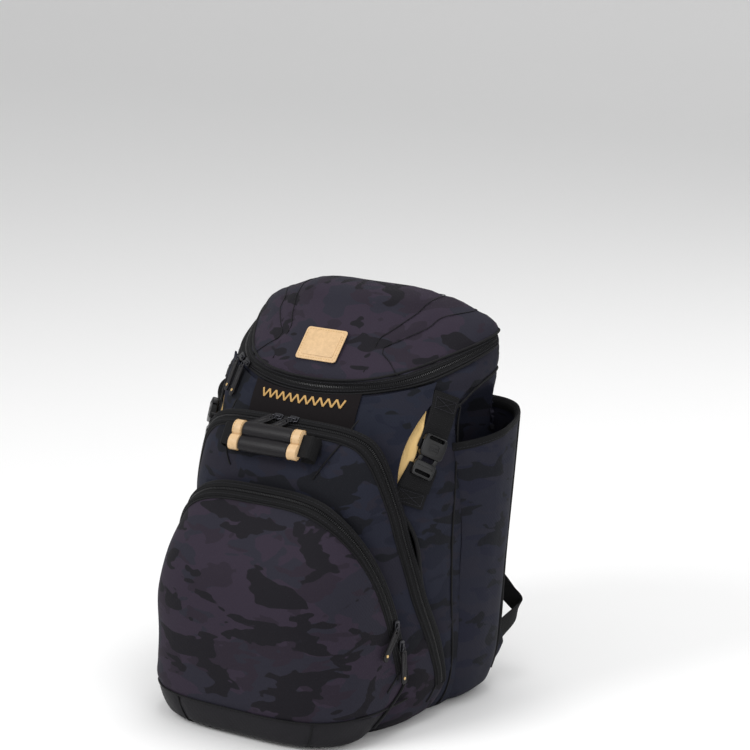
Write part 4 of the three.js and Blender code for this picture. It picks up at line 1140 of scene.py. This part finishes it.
# Webbing: a strap laid along a side-view line on the body.
def side_strap(name, start, end, lift, width=25 * MM, thick=1.6 * MM, count=60):
    way = np.linspace(0, 1, count)[:, None]
    line = start + (end - start) * way
    step = (end - start) / np.linalg.norm(end - start)
    aside = np.array([step[1], -step[0]])
    rows, cloth = [], []
    profile = [(-0.5, 0.35), (-0.485, 0.9), (-0.4, 1.0), (0.4, 1.0), (0.485, 0.9), (0.5, 0.35), (0.47, 0.0),
               (-0.47, 0.0)]
    for across, height in profile:
        rows.append(on_side(body, line + aside * across * width, lift + thick * height))
        cloth.append(np.stack([way[:, 0] * np.linalg.norm(end - start), np.full(count, across * width)], 1))
    return soften(closed_strip(name, np.array(rows), np.array(cloth)), 50)


strap_top, strap_bottom = np.array([0.66 * DEPTH, 0.79 * HEIGHT]), np.array([0.46 * DEPTH, 0.55 * HEIGHT])


def strap_spot(share):
    return strap_top + (strap_bottom - strap_top) * share


STRAP_LIFT = 3.4 * MM
upper = side_strap("strap_upper_webbing_right", strap_spot(0.0), strap_spot(0.5), STRAP_LIFT)
lower = side_strap("strap_lower_webbing_right", strap_spot(0.64), strap_spot(1.0), STRAP_LIFT)
fold_lift = STRAP_LIFT + 1.7 * MM
fold = side_strap("strap_fold_right", strap_spot(0.66), strap_spot(0.86), fold_lift, thick=1.5 * MM)
for piece, node in ((upper, "strap_upper"), (lower, "strap_lower"), (fold, None)):
    dress(piece, strap_cloth, node and node + "_right")
    twin = mirror(piece, piece.name.replace("right", "left"))
    dress(twin, strap_cloth, node and node + "_left")


def tack(name, centre, width, tall):
    """A bar tack: a stitched box with a cross, in side view at centre on the right side."""
    step = (strap_bottom - strap_top) / np.linalg.norm(strap_bottom - strap_top)
    aside = np.array([step[1], -step[0]])
    made = []
    for a, b in (((-1, -1), (1, -1)), ((1, -1), (1, 1)), ((1, 1), (-1, 1)), ((-1, 1), (-1, -1)),
                 ((-1, -1), (1, 1)), ((1, -1), (-1, 1))):
        a, b = (centre + aside * p[0] * width / 2 + step * p[1] * tall / 2 for p in (a, b))
        line = a + (b - a) * np.linspace(0, 1, 16)[:, None]
        share = line[:, 1] / HEIGHT
        out = body.normal(body.angle_at_depth(line[:, 0], share), share)
        made.append(stitches_along(name, on_side(body, line, STRAP_LIFT + 1.75 * MM), out, 3.2 * MM))
    piece = join(made, name)
    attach(piece, "root")
    return piece


for label, at in (("upper", 0.1), ("lower", 0.93)):
    made = tack(f"strap_tack_{label}_right", strap_spot(at), 19 * MM, 13 * MM)
    dress(mirror(made, f"strap_tack_{label}_left"), thread)


def moved(piece, place):
    """Sets a piece that was modelled at the origin into its place."""
    spots = np.c_[corners(piece), np.ones(len(piece.data.vertices))] @ np.array(place).T
    set_corners(piece, spots[:, :3])
    return piece


def plate(name, outline, low, high, soft=0.8 * MM, segments=3):
    """A flat piece with an outline in millimetres, from low to high, its edges rounded."""
    bpy.ops.object.select_all(action="DESELECT")
    bpy.ops.mesh.primitive_circle_add(vertices=len(outline), radius=1, fill_type="NGON")
    piece = bpy.context.object
    piece.name = name
    set_corners(piece, [(x * MM, y * MM, low * MM) for x, y in outline])
    in_edit(piece, lambda: bpy.ops.mesh.extrude_region_move(
        TRANSFORM_OT_translate={"value": (0, 0, (high - low) * MM)}))
    in_edit(piece, face_out)
    if soft:
        modify(piece, "BEVEL", width=soft, segments=segments, limit_method="ANGLE", angle_limit=0.6)
    return soften(piece, 35)


def oblong(wide, tall, corner=3.0, steps=5, x=0.0, y=0.0):
    """The outline of a rounded oblong, in millimetres, round its centre."""
    points = []
    for turn, (sx, sy) in enumerate(((1, -1), (1, 1), (-1, 1), (-1, -1))):
        for k in range(steps + 1):
            angle = math.radians(-90 + 90 * turn + 90 * k / steps)
            points.append((x + sx * (wide / 2 - corner) + corner * math.cos(angle),
                           y + sy * (tall / 2 - corner) + corner * math.sin(angle)))
    return points


def carve(piece, cutter):
    modify(piece, "BOOLEAN", operation="DIFFERENCE", object=cutter, solver="EXACT")
    bpy.data.objects.remove(cutter)
    return piece


# The badge: a bare gold patch with a stitched border.
badge_place = frame_on(body, -math.pi / 2, 0.885, 2.6 * MM)
badge = plate("badge_patch", oblong(57, 44, 4), 0, 1.5, 0.6 * MM)
badge = dress(moved(badge, badge_place), gold_leather, "badge")
ring = plate("badge_raised_field", oblong(45, 32, 3), 1.3, 2.1, 0.5 * MM)
dress(moved(ring, badge_place), gold_leather)
border = [Vector((x * MM, y * MM, 1.5 * MM)) for x, y in oblong(51.5, 38.5, 3.5)]
border = np.array([badge_place @ p for p in border + border[:1]])
badge_out = np.repeat(np.array(badge_place)[None, :3, 2], len(border), 0)
stitches_along("badge_stitches", border, badge_out, 3.6 * MM, gold_thread)

# Side-release buckles: a socket with side windows and a plug with two prongs.
def buckle_place(high, low):
    start, end = (Vector(on_side(body, strap_spot(s)[None])[0]) for s in (high, low))
    up = (start - end).normalized()
    middle = (strap_spot(high) + strap_spot(low)) / 2
    share = np.array([middle[1] / HEIGHT])
    out = Vector(body.normal(body.angle_at_depth(middle[:1], share), share)[0])
    out = (out - up * out.dot(up)).normalized()
    place = Matrix((up.cross(out), up, out)).transposed().to_4x4()
    place.translation = Vector(on_side(body, middle[None])[0]) + out * 3.2 * MM
    return place


SOCKET = [(-12.5, -13.5), (12.5, -13.5), (14.6, -10), (15, 4), (14.2, 10), (12.5, 13.3), (-12.5, 13.3),
          (-14.2, 10),
          (-15, 4), (-14.6, -10)]
socket = plate("buckle_socket_shell_right", SOCKET, 2.2, 11.2, 1.8 * MM, 4)
for side in (-1, 1):
    carve(socket, plate("window", oblong(7, 13, 2, 4, side * 15.2, -1.5), 3.6, 9.6, 0))
carve(socket, plate("slot", oblong(20, 4.6, 2, 4, 0, 9.2), -1, 14, 0))
carve(socket, plate("dish", oblong(13, 12, 4, 5, 0, -2.5), 10.4, 14, 0))
lip = plate("buckle_socket_rib", oblong(11, 1.6, 0.7, 3, 0, -1), 9.9, 11.0, 0.3 * MM)
ribs = [lip] + [moved(plate("rib", oblong(11, 1.6, 0.7, 3, 0, -1 - 3.2 * k), 9.9, 11.0, 0.3 * MM), Matrix())
                for k in (1,)]
socket = soften(join([socket, *ribs], "buckle_socket_shell_right"), 35)
PLUG = [(-11.5, -11.5), (11.5, -11.5), (13.2, -9), (13.4, 3), (12, 7.5), (-12, 7.5), (-13.4, 3), (-13.2, -9)]
plug = plate("buckle_plug_shell_right", PLUG, 2.4, 9.4, 1.4 * MM, 4)
carve(plug, plate("slot", oblong(20, 4.6, 2, 4, 0, -6.2), -1, 14, 0))
carve(plug, plate("slot", oblong(20, 2.6, 1.2, 4, 0, 0.6), 7.9, 14, 0))
prongs = []
for side in (-1, 1):
    prongs.append(plate("prong", [(side * 9.5 + 2.2 * a, 6.5 + b) for a, b in
                                  ((-1, 0), (1, 0), (1.6, 9), (1.2, 15), (0, 16.5), (-0.8, 15), (-0.8, 8))],
                        4.4, 7.4, 0.6 * MM))
plug = soften(join([plug, *prongs], "buckle_plug_shell_right"), 35)
for piece, high, low, node in ((socket, 0.37, 0.57, "buckle_socket"), (plug, 0.57, 0.75, "buckle_plug")):
    moved(piece, buckle_place(high, low))
    dress(piece, plastic, node + "_right")
    dress(mirror(piece, piece.name.replace("right", "left")), plastic, node + "_left")

# The carry handle: two padded rolls side by side on a bowed webbing, wrapped in gold at both ends.
handle_place = frame_on(compartment, -math.pi / 2, 0.683)
HANDLE_OUT, HANDLE_HALF, ROLL, APART, FLAT = 19, 35, 9.2, 8.6, 0.68


def roll_body(name, radius, low, high, offset, bulge=0.0, soft=2.2, rings=24):
    """A roll along x in millimetres: a spun outline with soft ends, full in its middle."""
    way = np.linspace(0, 1, rings)
    x = low + (high - low) * way
    end = np.minimum(x - low, high - x)
    rounding = np.sqrt(np.clip(1 - (1 - np.clip(end / soft, 0, 1)) ** 2, 0, 1))
    r = radius - soft + soft * rounding + bulge * np.sin(math.pi * way)
    turn = np.linspace(0, 2 * math.pi, 41)[:, None]
    rise = HANDLE_OUT + FLAT * r * np.sin(turn)
    rows = np.stack([np.broadcast_to(x, (41, rings)), offset + r * np.cos(turn), rise], -1)
    cloth = np.stack(np.broadcast_arrays(x[None] * MM, turn * radius * MM), -1)
    piece = closed_roll(name, rows * MM, cloth)
    return piece


def closed_roll(name, rows, cloth):
    middle = np.repeat(rows[:-1].mean(0)[None], len(rows), 0)
    rows = np.concatenate([middle[:, :1], rows, middle[:, -1:]], 1)
    cloth = np.concatenate([cloth[:, :1], cloth, cloth[:, -1:]], 1)
    piece = sheet(name, rows, cloth)
    in_edit(piece, weld, face_out)
    return soften(piece, 60)


rolls = [roll_body("roll", ROLL, -HANDLE_HALF, HANDLE_HALF, side * APART, 0.9, 2.5, 60) for side in (-1, 1)]
for roll in rolls:
    spots = corners(roll)
    ripples = 0.35 * MM * ripple(spots, 0.006, 51)
    spots[:, 1] += ripples
    set_corners(roll, spots)
grip = moved(soften(join(rolls, "handle_grip_rolls"), 60), handle_place)
dress(grip, black_leather, "handle_grip")
for side, low in (("right", HANDLE_HALF - 0.5), ("left", -HANDLE_HALF - 13.3)):
    parts = [roll_body("wrap", 9.7, low, low + 12.6, turn * APART, 0.1, 0.7, 20) for turn in (-1, 1)]
    wrap = moved(soften(join(parts, f"grip_wrap_{side}_band"), 60), handle_place)
    dress(wrap, gold_leather, f"grip_wrap_{side}")
    for k, x in enumerate((low + 1.8, low + 12.0)):
        for turn, (start, end) in ((1, (-30, 200)), (-1, (160, 390))):
            arc = np.radians(np.linspace(start, end, 40))
            arc_line = [handle_place @ Vector((x * MM, (turn * APART + 10.1 * math.cos(a)) * MM,
                                               (HANDLE_OUT + FLAT * 10.1 * math.sin(a)) * MM)) for a in arc]
            arc_out = [handle_place.to_3x3() @ Vector((0, math.cos(a), math.sin(a))) for a in arc]
            row_name = f"grip_wrap_stitch_{side}_{k}_{turn % 3}"
            stitches_along(row_name, arc_line, arc_out, 3.4 * MM, gold_thread, 0.8)


def ribbon(name, line, side, width, thick, round_edge=True):
    """A flat strap along a line: side is the direction of its width at each point."""
    line, side = np.asarray(line, float), np.asarray(side, float)
    width, thick = np.broadcast_to(width, len(line))[:, None], np.broadcast_to(thick, len(line))[:, None]
    along = np.gradient(line, axis=0)
    along /= np.linalg.norm(along, axis=1, keepdims=True)
    side = side - along * (side * along).sum(1, keepdims=True)
    side /= np.linalg.norm(side, axis=1, keepdims=True)
    out = np.cross(along, side)
    length = np.concatenate([[0], np.cumsum(np.linalg.norm(np.diff(line, axis=0), axis=1))])
    profile = [(-0.5, 0.0), (-0.49, 0.35), (-0.42, 0.5), (0, 0.5), (0.42, 0.5), (0.49, 0.35), (0.5, 0.0),
               (0.49, -0.35),
               (0.42, -0.5), (0, -0.5), (-0.42, -0.5), (-0.49, -0.35)]
    rows = np.array([line + side * a * width + out * b * thick for a, b in profile])
    cloth = np.array([np.stack([length, a * width[:, 0]], 1) for a, b in profile])
    return soften(closed_strip(name, rows, cloth), 50)


end = HANDLE_HALF + 13.6
bow = [(end + 0, 1.8), (end + 12, 2.2), (end + 15, 9), (end + 12, 20), (end + 2, HANDLE_OUT), (0, HANDLE_OUT),
       (-end - 2, HANDLE_OUT), (-end - 12, 20), (-end - 15, 9), (-end - 12, 2.2), (-end, 1.8)]
bow = spline(np.array(bow) * MM, 120)
bow_line = np.array([handle_place @ Vector((x, 0, z)) for x, z in bow])
bow_side = np.repeat(np.array(handle_place)[None, :3, 1], len(bow), 0)
handle_strap = ribbon("handle_webbing", bow_line, bow_side, 27 * MM, 2 * MM)
dress(handle_strap, strap_cloth, "handle_strap")
for side in (-1, 1):
    tab = [handle_place @ Vector((side * (HANDLE_HALF + 17 + 9 * t) * MM, 0, 1.7 * MM))
           for t in np.linspace(-1, 1, 12)]
    tab = ribbon(f"handle_tab_{'right' if side > 0 else 'left'}", tab, bow_side[:12], 30 * MM, 2.2 * MM)
    dress(tab, strap_cloth)

# Sliders and their leather pulls.
def slider_unit():
    parts = [plate("slider", [(-3.4, -6.5), (3.4, -6.5), (4.4, -1), (4.4, 5.5), (2.6, 6.5), (-2.6, 6.5),
                              (-4.4, 5.5),
                              (-4.4, -1)], 2.2, 4.2, 0.5 * MM)]
    parts.append(plate("slider", oblong(3.4, 8.6, 1.2, 3, 0, -0.6), 4.0, 6.4, 0.7 * MM))
    return join(parts, "slider")


def pull_units():
    """The leather tab with its puller ring, stitches and a plain gold stud, in parts."""
    tab = plate("pull", oblong(9.5, 40, 3.6, 6, 0, -25), -1.0, 1.1, 0.6 * MM)
    carve(tab, plate("hole", oblong(4.2, 3.0, 1.2, 4, 0, -8.2), -3, 3, 0))
    ring = tube("ring", [((2.7 * math.cos(a)) * MM, (-5.2 + 4.6 * math.sin(a)) * MM, 0.0)
                         for a in np.linspace(0.4, 2 * math.pi + 0.3, 30)], 0.75 * MM)
    stud_turn = np.linspace(0, 2 * math.pi, 17)[:-1]
    stud_rim = [(1.9 * math.cos(a), -38 + 1.9 * math.sin(a)) for a in stud_turn]
    stud = plate("stud", stud_rim, 0.8, 1.9, 0.4 * MM)
    frame_line = [Vector((x * MM, y * MM, 1.15 * MM)) for x, y in oblong(7.0, 27, 2.4, 5, 0, -26)]
    return tab, ring, stud, np.array(frame_line + frame_line[:1])


SLIDERS = [
    ("lid_1", body, ("x", -0.603), 0.815, 78, ("x", -0.638), 0.735, 9.5),
    ("lid_2", body, ("x", -0.69), 0.82, 76, ("x", -0.719), 0.74, 9.5),
    ("compartment_1", compartment, ("x", 0.07), 0.735, 90, ("x", -0.151), 0.69, 7),
    ("compartment_2", compartment, ("x", -0.058), 0.735, 90, ("x", -0.29), 0.7, 7),
    ("pocket_1", pocket, ("depth", 0.345), 0.275, -14, ("depth", 0.25), 0.2, 7),
    ("pocket_2", pocket, ("depth", 0.367), 0.222, -10, ("depth", 0.36), 0.14, 7),
]


def slider_angle(form, place, share):
    kind, value = place
    if kind == "x":
        return angle_at_x(form, value * WIDTH / 2, share)
    return float(form.angle_at_depth(np.array([value * DEPTH]), np.array([share]))[0])


for name, form, place, share, roll, to_place, to_share, lift in SLIDERS:
    angle, to_angle = slider_angle(form, place, share), slider_angle(form, to_place, to_share)
    piece = moved(slider_unit(), frame_on(form, angle, share, 0.6 * MM, roll))
    piece.name = f"slider_{name}_body"
    dress(piece, dark_metal, f"slider_{name}")
    top = Vector(form.at(np.array([angle]), np.array([share]))[0])
    bottom = Vector(form.at(np.array([to_angle]), np.array([to_share]))[0])
    up = (top - bottom).normalized()
    out = Vector(form.normal(np.array([(angle + to_angle) / 2]), np.array([(share + to_share) / 2]))[0])
    out = (out - up * out.dot(up)).normalized()
    hang = Matrix((up.cross(out), up, out)).transposed().to_4x4()
    hang.translation = top + out * lift * MM
    tab, ring, stud, line = pull_units()
    tab.name = f"pull_{name}_tab"
    dress(moved(tab, hang), black_leather, f"pull_{name}")
    ring.name = f"pull_{name}_ring"
    dress(moved(ring, hang), dark_metal)
    stud.name = f"pull_{name}_stud"
    dress(moved(stud, hang), gold_metal)
    line = np.array([hang @ Vector(p) for p in line])
    facing = np.repeat(np.array(hang)[None, :3, 2], len(line), 0)
    stitches_along(f"pull_{name}_stitches", line, facing, 2.6 * MM, thread, 0.75)

# The bound mouth of each sleeve.
rim_turn, rim_height = mouth_turn[free], rim_share[free]
rows, cloth = [], []
BINDING_PROFILE = [(9, -0.2), (9, 1.3), (7.5, 1.7), (2, 1.8), (-0.6, 1.2), (-1.6, -0.8), (-0.6, -3.4),
                   (2, -4.4),
                   (7, -4.2), (7.4, -3.0), (3.5, -2.6), (3.5, -0.3)]
for drop, out in BINDING_PROFILE:
    lower = rim_height - drop * MM / HEIGHT
    rows.append(sleeve.at(rim_turn, lower, out * MM))
    cloth.append(np.stack([np.linspace(0, 0.33, len(rim_turn)), np.full(len(rim_turn), drop * MM)], 1))
binding = soften(closed_strip("sleeve_binding_right_tape", np.array(rows), np.array(cloth)), 50)
dress(binding, tape_cloth, "sleeve_binding_right")
dress(mirror(binding, "sleeve_binding_left_tape"), tape_cloth, "sleeve_binding_left")
rim_out = sleeve.normal(rim_turn, rim_height)
rim_line = sleeve.at(rim_turn, rim_height - 7 * MM / HEIGHT, 1.75 * MM)
made = stitches_along("sleeve_binding_right_stitches", rim_line, rim_out)
dress(mirror(made, "sleeve_binding_left_stitches"), thread)

# The black edge that each sleeve has down its back corner.
corner_turn = np.radians(np.linspace(0, 110, 221))
corner_line = []
for share in np.linspace(0.05, 0.722, 90):
    ring = sleeve.at(corner_turn, np.full(len(corner_turn), share))
    corner_line.append(ring[np.argmax(ring @ (0.8, 0.6, 0))])
corner_line = np.array(corner_line)
for spread in range(4):
    corner_line[1:-1] = (corner_line[:-2] + corner_line[1:-1] * 2 + corner_line[2:]) / 4
corner_edge = piping("sleeve_back_edge_right", corner_line, 2.8 * MM)
dress(mirror(corner_edge, "sleeve_back_edge_left"), edge_cloth)

# The back: a padded panel, two padded shoulder straps on webbing, ladder locks, wings and a haul loop.
def prism_back(outline):
    """A cutter drawn out from front to back from an outline of (x, height) points."""
    piece = prism([(x, z) for x, z in outline])
    spots = corners(piece)
    set_corners(piece, np.stack([spots[:, 1] - FRONT, spots[:, 0], spots[:, 2]], 1))
    in_edit(piece, face_out)
    return piece


def rounded(piece, voxel=4 * MM, smooth=8):
    """Remeshes a piece evenly and rounds its edges."""
    modify(piece, "REMESH", mode="VOXEL", voxel_size=voxel)
    modify(piece, "SMOOTH", factor=0.5, iterations=smooth)
    return piece


def plump(piece, cap, hold=None):
    """Swells a pad with a cloth simulation; no corner moves further than cap, and held ones stay."""
    start = corners(piece)
    alone(piece)
    modifier = piece.modifiers.new("Cloth", "CLOTH")
    modifier.settings.use_pressure = True
    modifier.settings.uniform_pressure_force = 4
    modifier.settings.effector_weights.gravity = 0
    modifier.settings.quality = 4
    for number in range(1, 21):
        bpy.context.scene.frame_set(number)
    bpy.ops.object.modifier_apply(modifier=modifier.name)
    bpy.context.scene.frame_set(1)
    move = corners(piece) - start
    far = np.linalg.norm(move, axis=1, keepdims=True)
    move *= np.minimum(1, cap / np.maximum(far, 1e-9))
    if hold is not None:
        move *= hold(start)[:, None]
    set_corners(piece, start + move)
    modify(piece, "SUBSURF", levels=1, render_levels=1)
    return soften(piece, 80)


PAD_OUTLINE = [(0, 0.18), (0.78, 0.185), (0.88, 0.23), (0.94, 0.4), (0.985, 0.56), (0.9, 0.68), (0.7, 0.77),
               (0.56, 0.83), (0, 0.84)]
pad_edge = spline(np.array(PAD_OUTLINE) * (WIDTH / 2, HEIGHT), 50)
pad_outline = [*pad_edge, *(pad_edge[1:-1][::-1] * (-1, 1))]
pad = closed_form("back_pad_cushion", body, 17 * MM, 160, 90)
cut(pad, closed_form("pad_inside", body, 1.6 * MM, 160, 90))
cut(pad, prism_back(pad_outline), "INTERSECT")
bpy.ops.object.select_all(action="DESELECT")
bpy.ops.mesh.primitive_cube_add(size=1)
rear = bpy.context.object
set_corners(rear, corners(rear) + (0, 0.86 * DEPTH + FRONT + 0.5, 0.4))
cut(pad, rear, "INTERSECT")
for turn in (1, -1):
    side_form = closed_form("sleeve_room", sleeve, 3 * MM, 80, 50)
    cut(pad, side_form if turn == 1 else mirror(side_form, "sleeve_room_left"))
    if turn == -1:
        bpy.data.objects.remove(side_form)
pad.data.materials.clear()
rounded(pad, 4 * MM, 6)
back_face = body.at(np.array([math.pi / 2]), np.array([0.5]))[0][1]
plump(pad, 5 * MM, lambda spots: np.clip((spots[:, 1] - back_face + 0.012) / 0.02, 0, 1))
spots = corners(pad)
outward = np.clip((spots[:, 1] - back_face - 0.004) / 0.012, 0, 1)
channels = [0.0] + [side * x for side in (-1, 1) for x in (0.042, 0.098)]
sunk = np.zeros(len(spots))
for x in channels:
    sunk = np.maximum(sunk, np.exp(-((spots[:, 0] - x) / 0.0045) ** 2) * (1.0 if x else 1.6))
for share in (0.3, 0.4, 0.5, 0.6, 0.7):
    arch = share * HEIGHT + 0.02 * np.cos(spots[:, 0] / 0.1 * 1.2)
    beside = np.abs(spots[:, 0]) > 0.042
    sunk = np.maximum(sunk, 0.8 * np.exp(-((spots[:, 2] - arch) / 0.0045) ** 2) * beside)
spots[:, 1] -= 4.5 * MM * sunk * outward
set_corners(pad, spots)
soften(pad, 80)
dress(pad, pad_cloth, "back_pad")


def strap_way(rows, count):
    """A strap's line, width, thickness and side from rows: out, behind, height, wide, thick, sideX, sideZ."""
    rows = np.array(rows) * (WIDTH / 2, MM, HEIGHT, MM, MM, 1, 1) + (0, DEPTH + FRONT, 0, 0, 0, 0, 0)
    rows = spline(rows, count)
    side = np.stack([rows[:, 5], np.zeros(count), rows[:, 6]], 1)
    return rows[:, :3], side, rows[:, 3], rows[:, 4]


SHOULDER_ROWS = [
    (0.29, 21, 0.8197, 56, 10, 1, 0), (0.336, 41, 0.7377, 64, 14, 1, 0), (0.429, 57, 0.6148, 66, 14, 1, 0.2),
    (0.545, 59, 0.4918, 60, 14, 1, 0.25), (0.649, 47, 0.3893, 42, 12, 1, 0.2),
    (0.684, 39, 0.3525, 34, 8, 1, 0),
]
WEBBING_ROWS = [
    (0.684, 32.6, 0.3402, 25, 1.8, 1, 0), (0.707, 32.4, 0.2828, 25, 1.8, 1, 0.2),
    (0.823, 45, 0.2049, 25, 1.8, 0.8, 0.7),
    (0.928, 43, 0.1639, 25, 1.8, 0.3, 1), (0.922, 2, 0.1311, 25, 1.8, 0, 1),
]
WING_ROWS = [
    (0.926, -27, 0.1107, 56, 2.6, 0, 1), (0.925, -11, 0.1168, 46, 3, 0, 1), (0.923, 3.5, 0.125, 32, 3, 0, 1),
]


def both(piece, finish, node=None):
    """Dresses a right-hand piece and its twin on the left."""
    dress(piece, finish, node and node + "_right")
    twin = mirror(piece, piece.name.replace("right", "left"))
    return piece, dress(twin, finish, node and node + "_left")


line, side, wide, thick = strap_way(SHOULDER_ROWS, 70)
shoulder = ribbon("shoulder_strap_right_pad", line, side, wide - 4 * MM, thick - 3 * MM)
rounded(shoulder, 4 * MM, 4)
plump(shoulder, 4 * MM)
soften(shoulder, 80)
pair = both(shoulder, pad_cloth, "shoulder_strap")
along = np.gradient(line, axis=0)
along /= np.linalg.norm(along, axis=1, keepdims=True)
flat_side = side - along * (side * along).sum(1, keepdims=True)
flat_side /= np.linalg.norm(flat_side, axis=1, keepdims=True)
outward = np.cross(along, flat_side)
outward *= np.sign(outward[:, 1:2])
edge_line = np.concatenate([line + flat_side * (wide[:, None] / 2 - 1.2 * MM),
                            (line - flat_side * (wide[:, None] / 2 - 1.2 * MM))[::-1]])
both(tube("shoulder_strap_right_binding", edge_line, 2.1 * MM), edge_cloth)
on_strap = line + outward * (thick[:, None] / 2 + 1.4 * MM)
both(ribbon("shoulder_strap_right_band", on_strap[6:-6], side[6:-6], 24 * MM, 1.5 * MM), strap_cloth)
for k in (12, 26, 40, 54):
    place = on_strap[k:k + 2]
    row = place[0] + flat_side[k] * np.linspace(-10 * MM, 10 * MM, 12)[:, None] + outward[k] * 0.9 * MM
    both(stitches_along(f"shoulder_tack_right_{k}", row, np.repeat(outward[k:k + 1], 12, 0), 3 * MM), thread)
line, side, wide, thick = strap_way(WEBBING_ROWS, 80)
webbing = ribbon("shoulder_webbing_right_strap", line, side, wide, thick)
both(webbing, strap_cloth, "shoulder_webbing")
line, side, wide, thick = strap_way(WING_ROWS, 40)
both(ribbon("strap_wing_right_cloth", line, side, wide, thick), navy_sleeve, "strap_wing")

# Ladder locks: a rounded frame with two slots and ribs between them.
lock_place = Matrix(((-1, 0, 0, 0.684 * WIDTH / 2), (0, 0, 1, DEPTH + FRONT + 0.034),
                     (0, 1, 0, 0.3252 * HEIGHT),
                     (0, 0, 0, 1)))
lock = plate("ladder_lock_right_frame", oblong(40, 26, 4), 0, 4.4, 1.1 * MM, 4)
for y in (-6.2, 5.4):
    carve(lock, plate("slot", oblong(29, 4.6, 2, 4, 0, y), -2, 8, 0))
bars = [plate("bar", oblong(28, 1.4, 0.6, 3, 0, y), 4.0, 5.0, 0.3 * MM) for y in (-1.6, 0.8)]
both(moved(soften(join([lock, *bars], "ladder_lock_right_frame"), 35), lock_place), plastic, "ladder_lock")

# The haul loop at the top of the back.
HAUL = [(-42, 0.8504), (-44, 0.9016), (-30, 0.9467), (0, 0.9631), (30, 0.9467), (44, 0.9016), (42, 0.8504)]
arc = spline([(x * MM, DEPTH + FRONT + 1.2 * MM, z * HEIGHT) for x, z in HAUL], 110)
haul_side = np.repeat([(0.0, 1.0, 0.0)], len(arc), 0)
haul = ribbon("haul_loop_webbing", arc, haul_side, 21 * MM, 3 * MM)
dress(haul, strap_cloth, "haul_loop")
grip_part = arc[38:-38]
dress(tube("haul_loop_sleeve", grip_part, 5.2 * MM, 12), black_leather)

for unit in (tooth, stitch, bar):
    bpy.data.objects.remove(unit)

# The studio: a pale floor that bends up behind, and plain soft lights.
bpy.ops.object.select_all(action="DESELECT")
bpy.ops.mesh.primitive_grid_add(x_subdivisions=1, y_subdivisions=40, size=1)
floor = bpy.context.object
floor.name = "studio_floor"
spots = corners(floor)
turn = (spots[:, 1] + 0.5) * 14 - 6
bend = np.clip((turn - 4.5) / 2.4, 0, 1) * math.pi / 2
spots = np.stack([spots[:, 0] * 24, np.where(turn < 4.5, turn, 4.5 + 2.4 * np.sin(bend)),
                  2.4 * (1 - np.cos(bend)) + np.clip(turn - 6.9, 0, None) * 4], 1)
set_corners(floor, spots)
soften(floor, 60)
floor_paint = Finish("pale_floor", 0.9)
floor.data.materials.append(floor_paint.finish(linear("f2f2f2")))


def soft_light(name, spot, target, size, power, tint=(1.0, 1.0, 1.0)):
    bpy.ops.object.light_add(type="AREA", location=spot)
    lamp = bpy.context.object
    lamp.name = name
    lamp.data.shape = "DISK"
    lamp.data.size = size
    lamp.data.energy = power
    lamp.data.color = tint
    lamp.rotation_euler = (Vector(target) - Vector(spot)).to_track_quat("-Z", "Y").to_euler()


MIDDLE = (0.0, 0.0, 0.25)
soft_light("key", (-1.3, -2.4, 2.3), MIDDLE, 1.3, 50)
soft_light("fill", (2.6, -1.5, 1.2), MIDDLE, 1.8, 20)
soft_light("top", (0.2, 0.3, 2.9), MIDDLE, 1.6, 30)
soft_light("back", (1.2, 2.4, 1.6), MIDDLE, 1.6, 12)
world = bpy.data.worlds.new("studio")
world.use_nodes = True
world.node_tree.nodes["Background"].inputs["Color"].default_value = (1.0, 1.0, 1.0, 1.0)
world.node_tree.nodes["Background"].inputs["Strength"].default_value = 0.62
scene = bpy.context.scene
scene.world = world
scene.view_settings.view_transform = "Standard"

# The camera stands where the photo was taken from.
AIM = Vector((0.0036, 0.0977, 0.3745))
TURN, TILT, FAR_OFF = math.radians(33), math.radians(14), 3.172
away = Vector((math.sin(TURN) * math.cos(TILT), -math.cos(TURN) * math.cos(TILT), math.sin(TILT)))
bpy.ops.object.camera_add(location=AIM + away * FAR_OFF)
camera = bpy.context.object
camera.name = "photo_camera"
camera.rotation_euler = (-away).to_track_quat("-Z", "Y").to_euler()
camera.data.lens = 124.8
camera.data.sensor_width = 36
scene.camera = camera
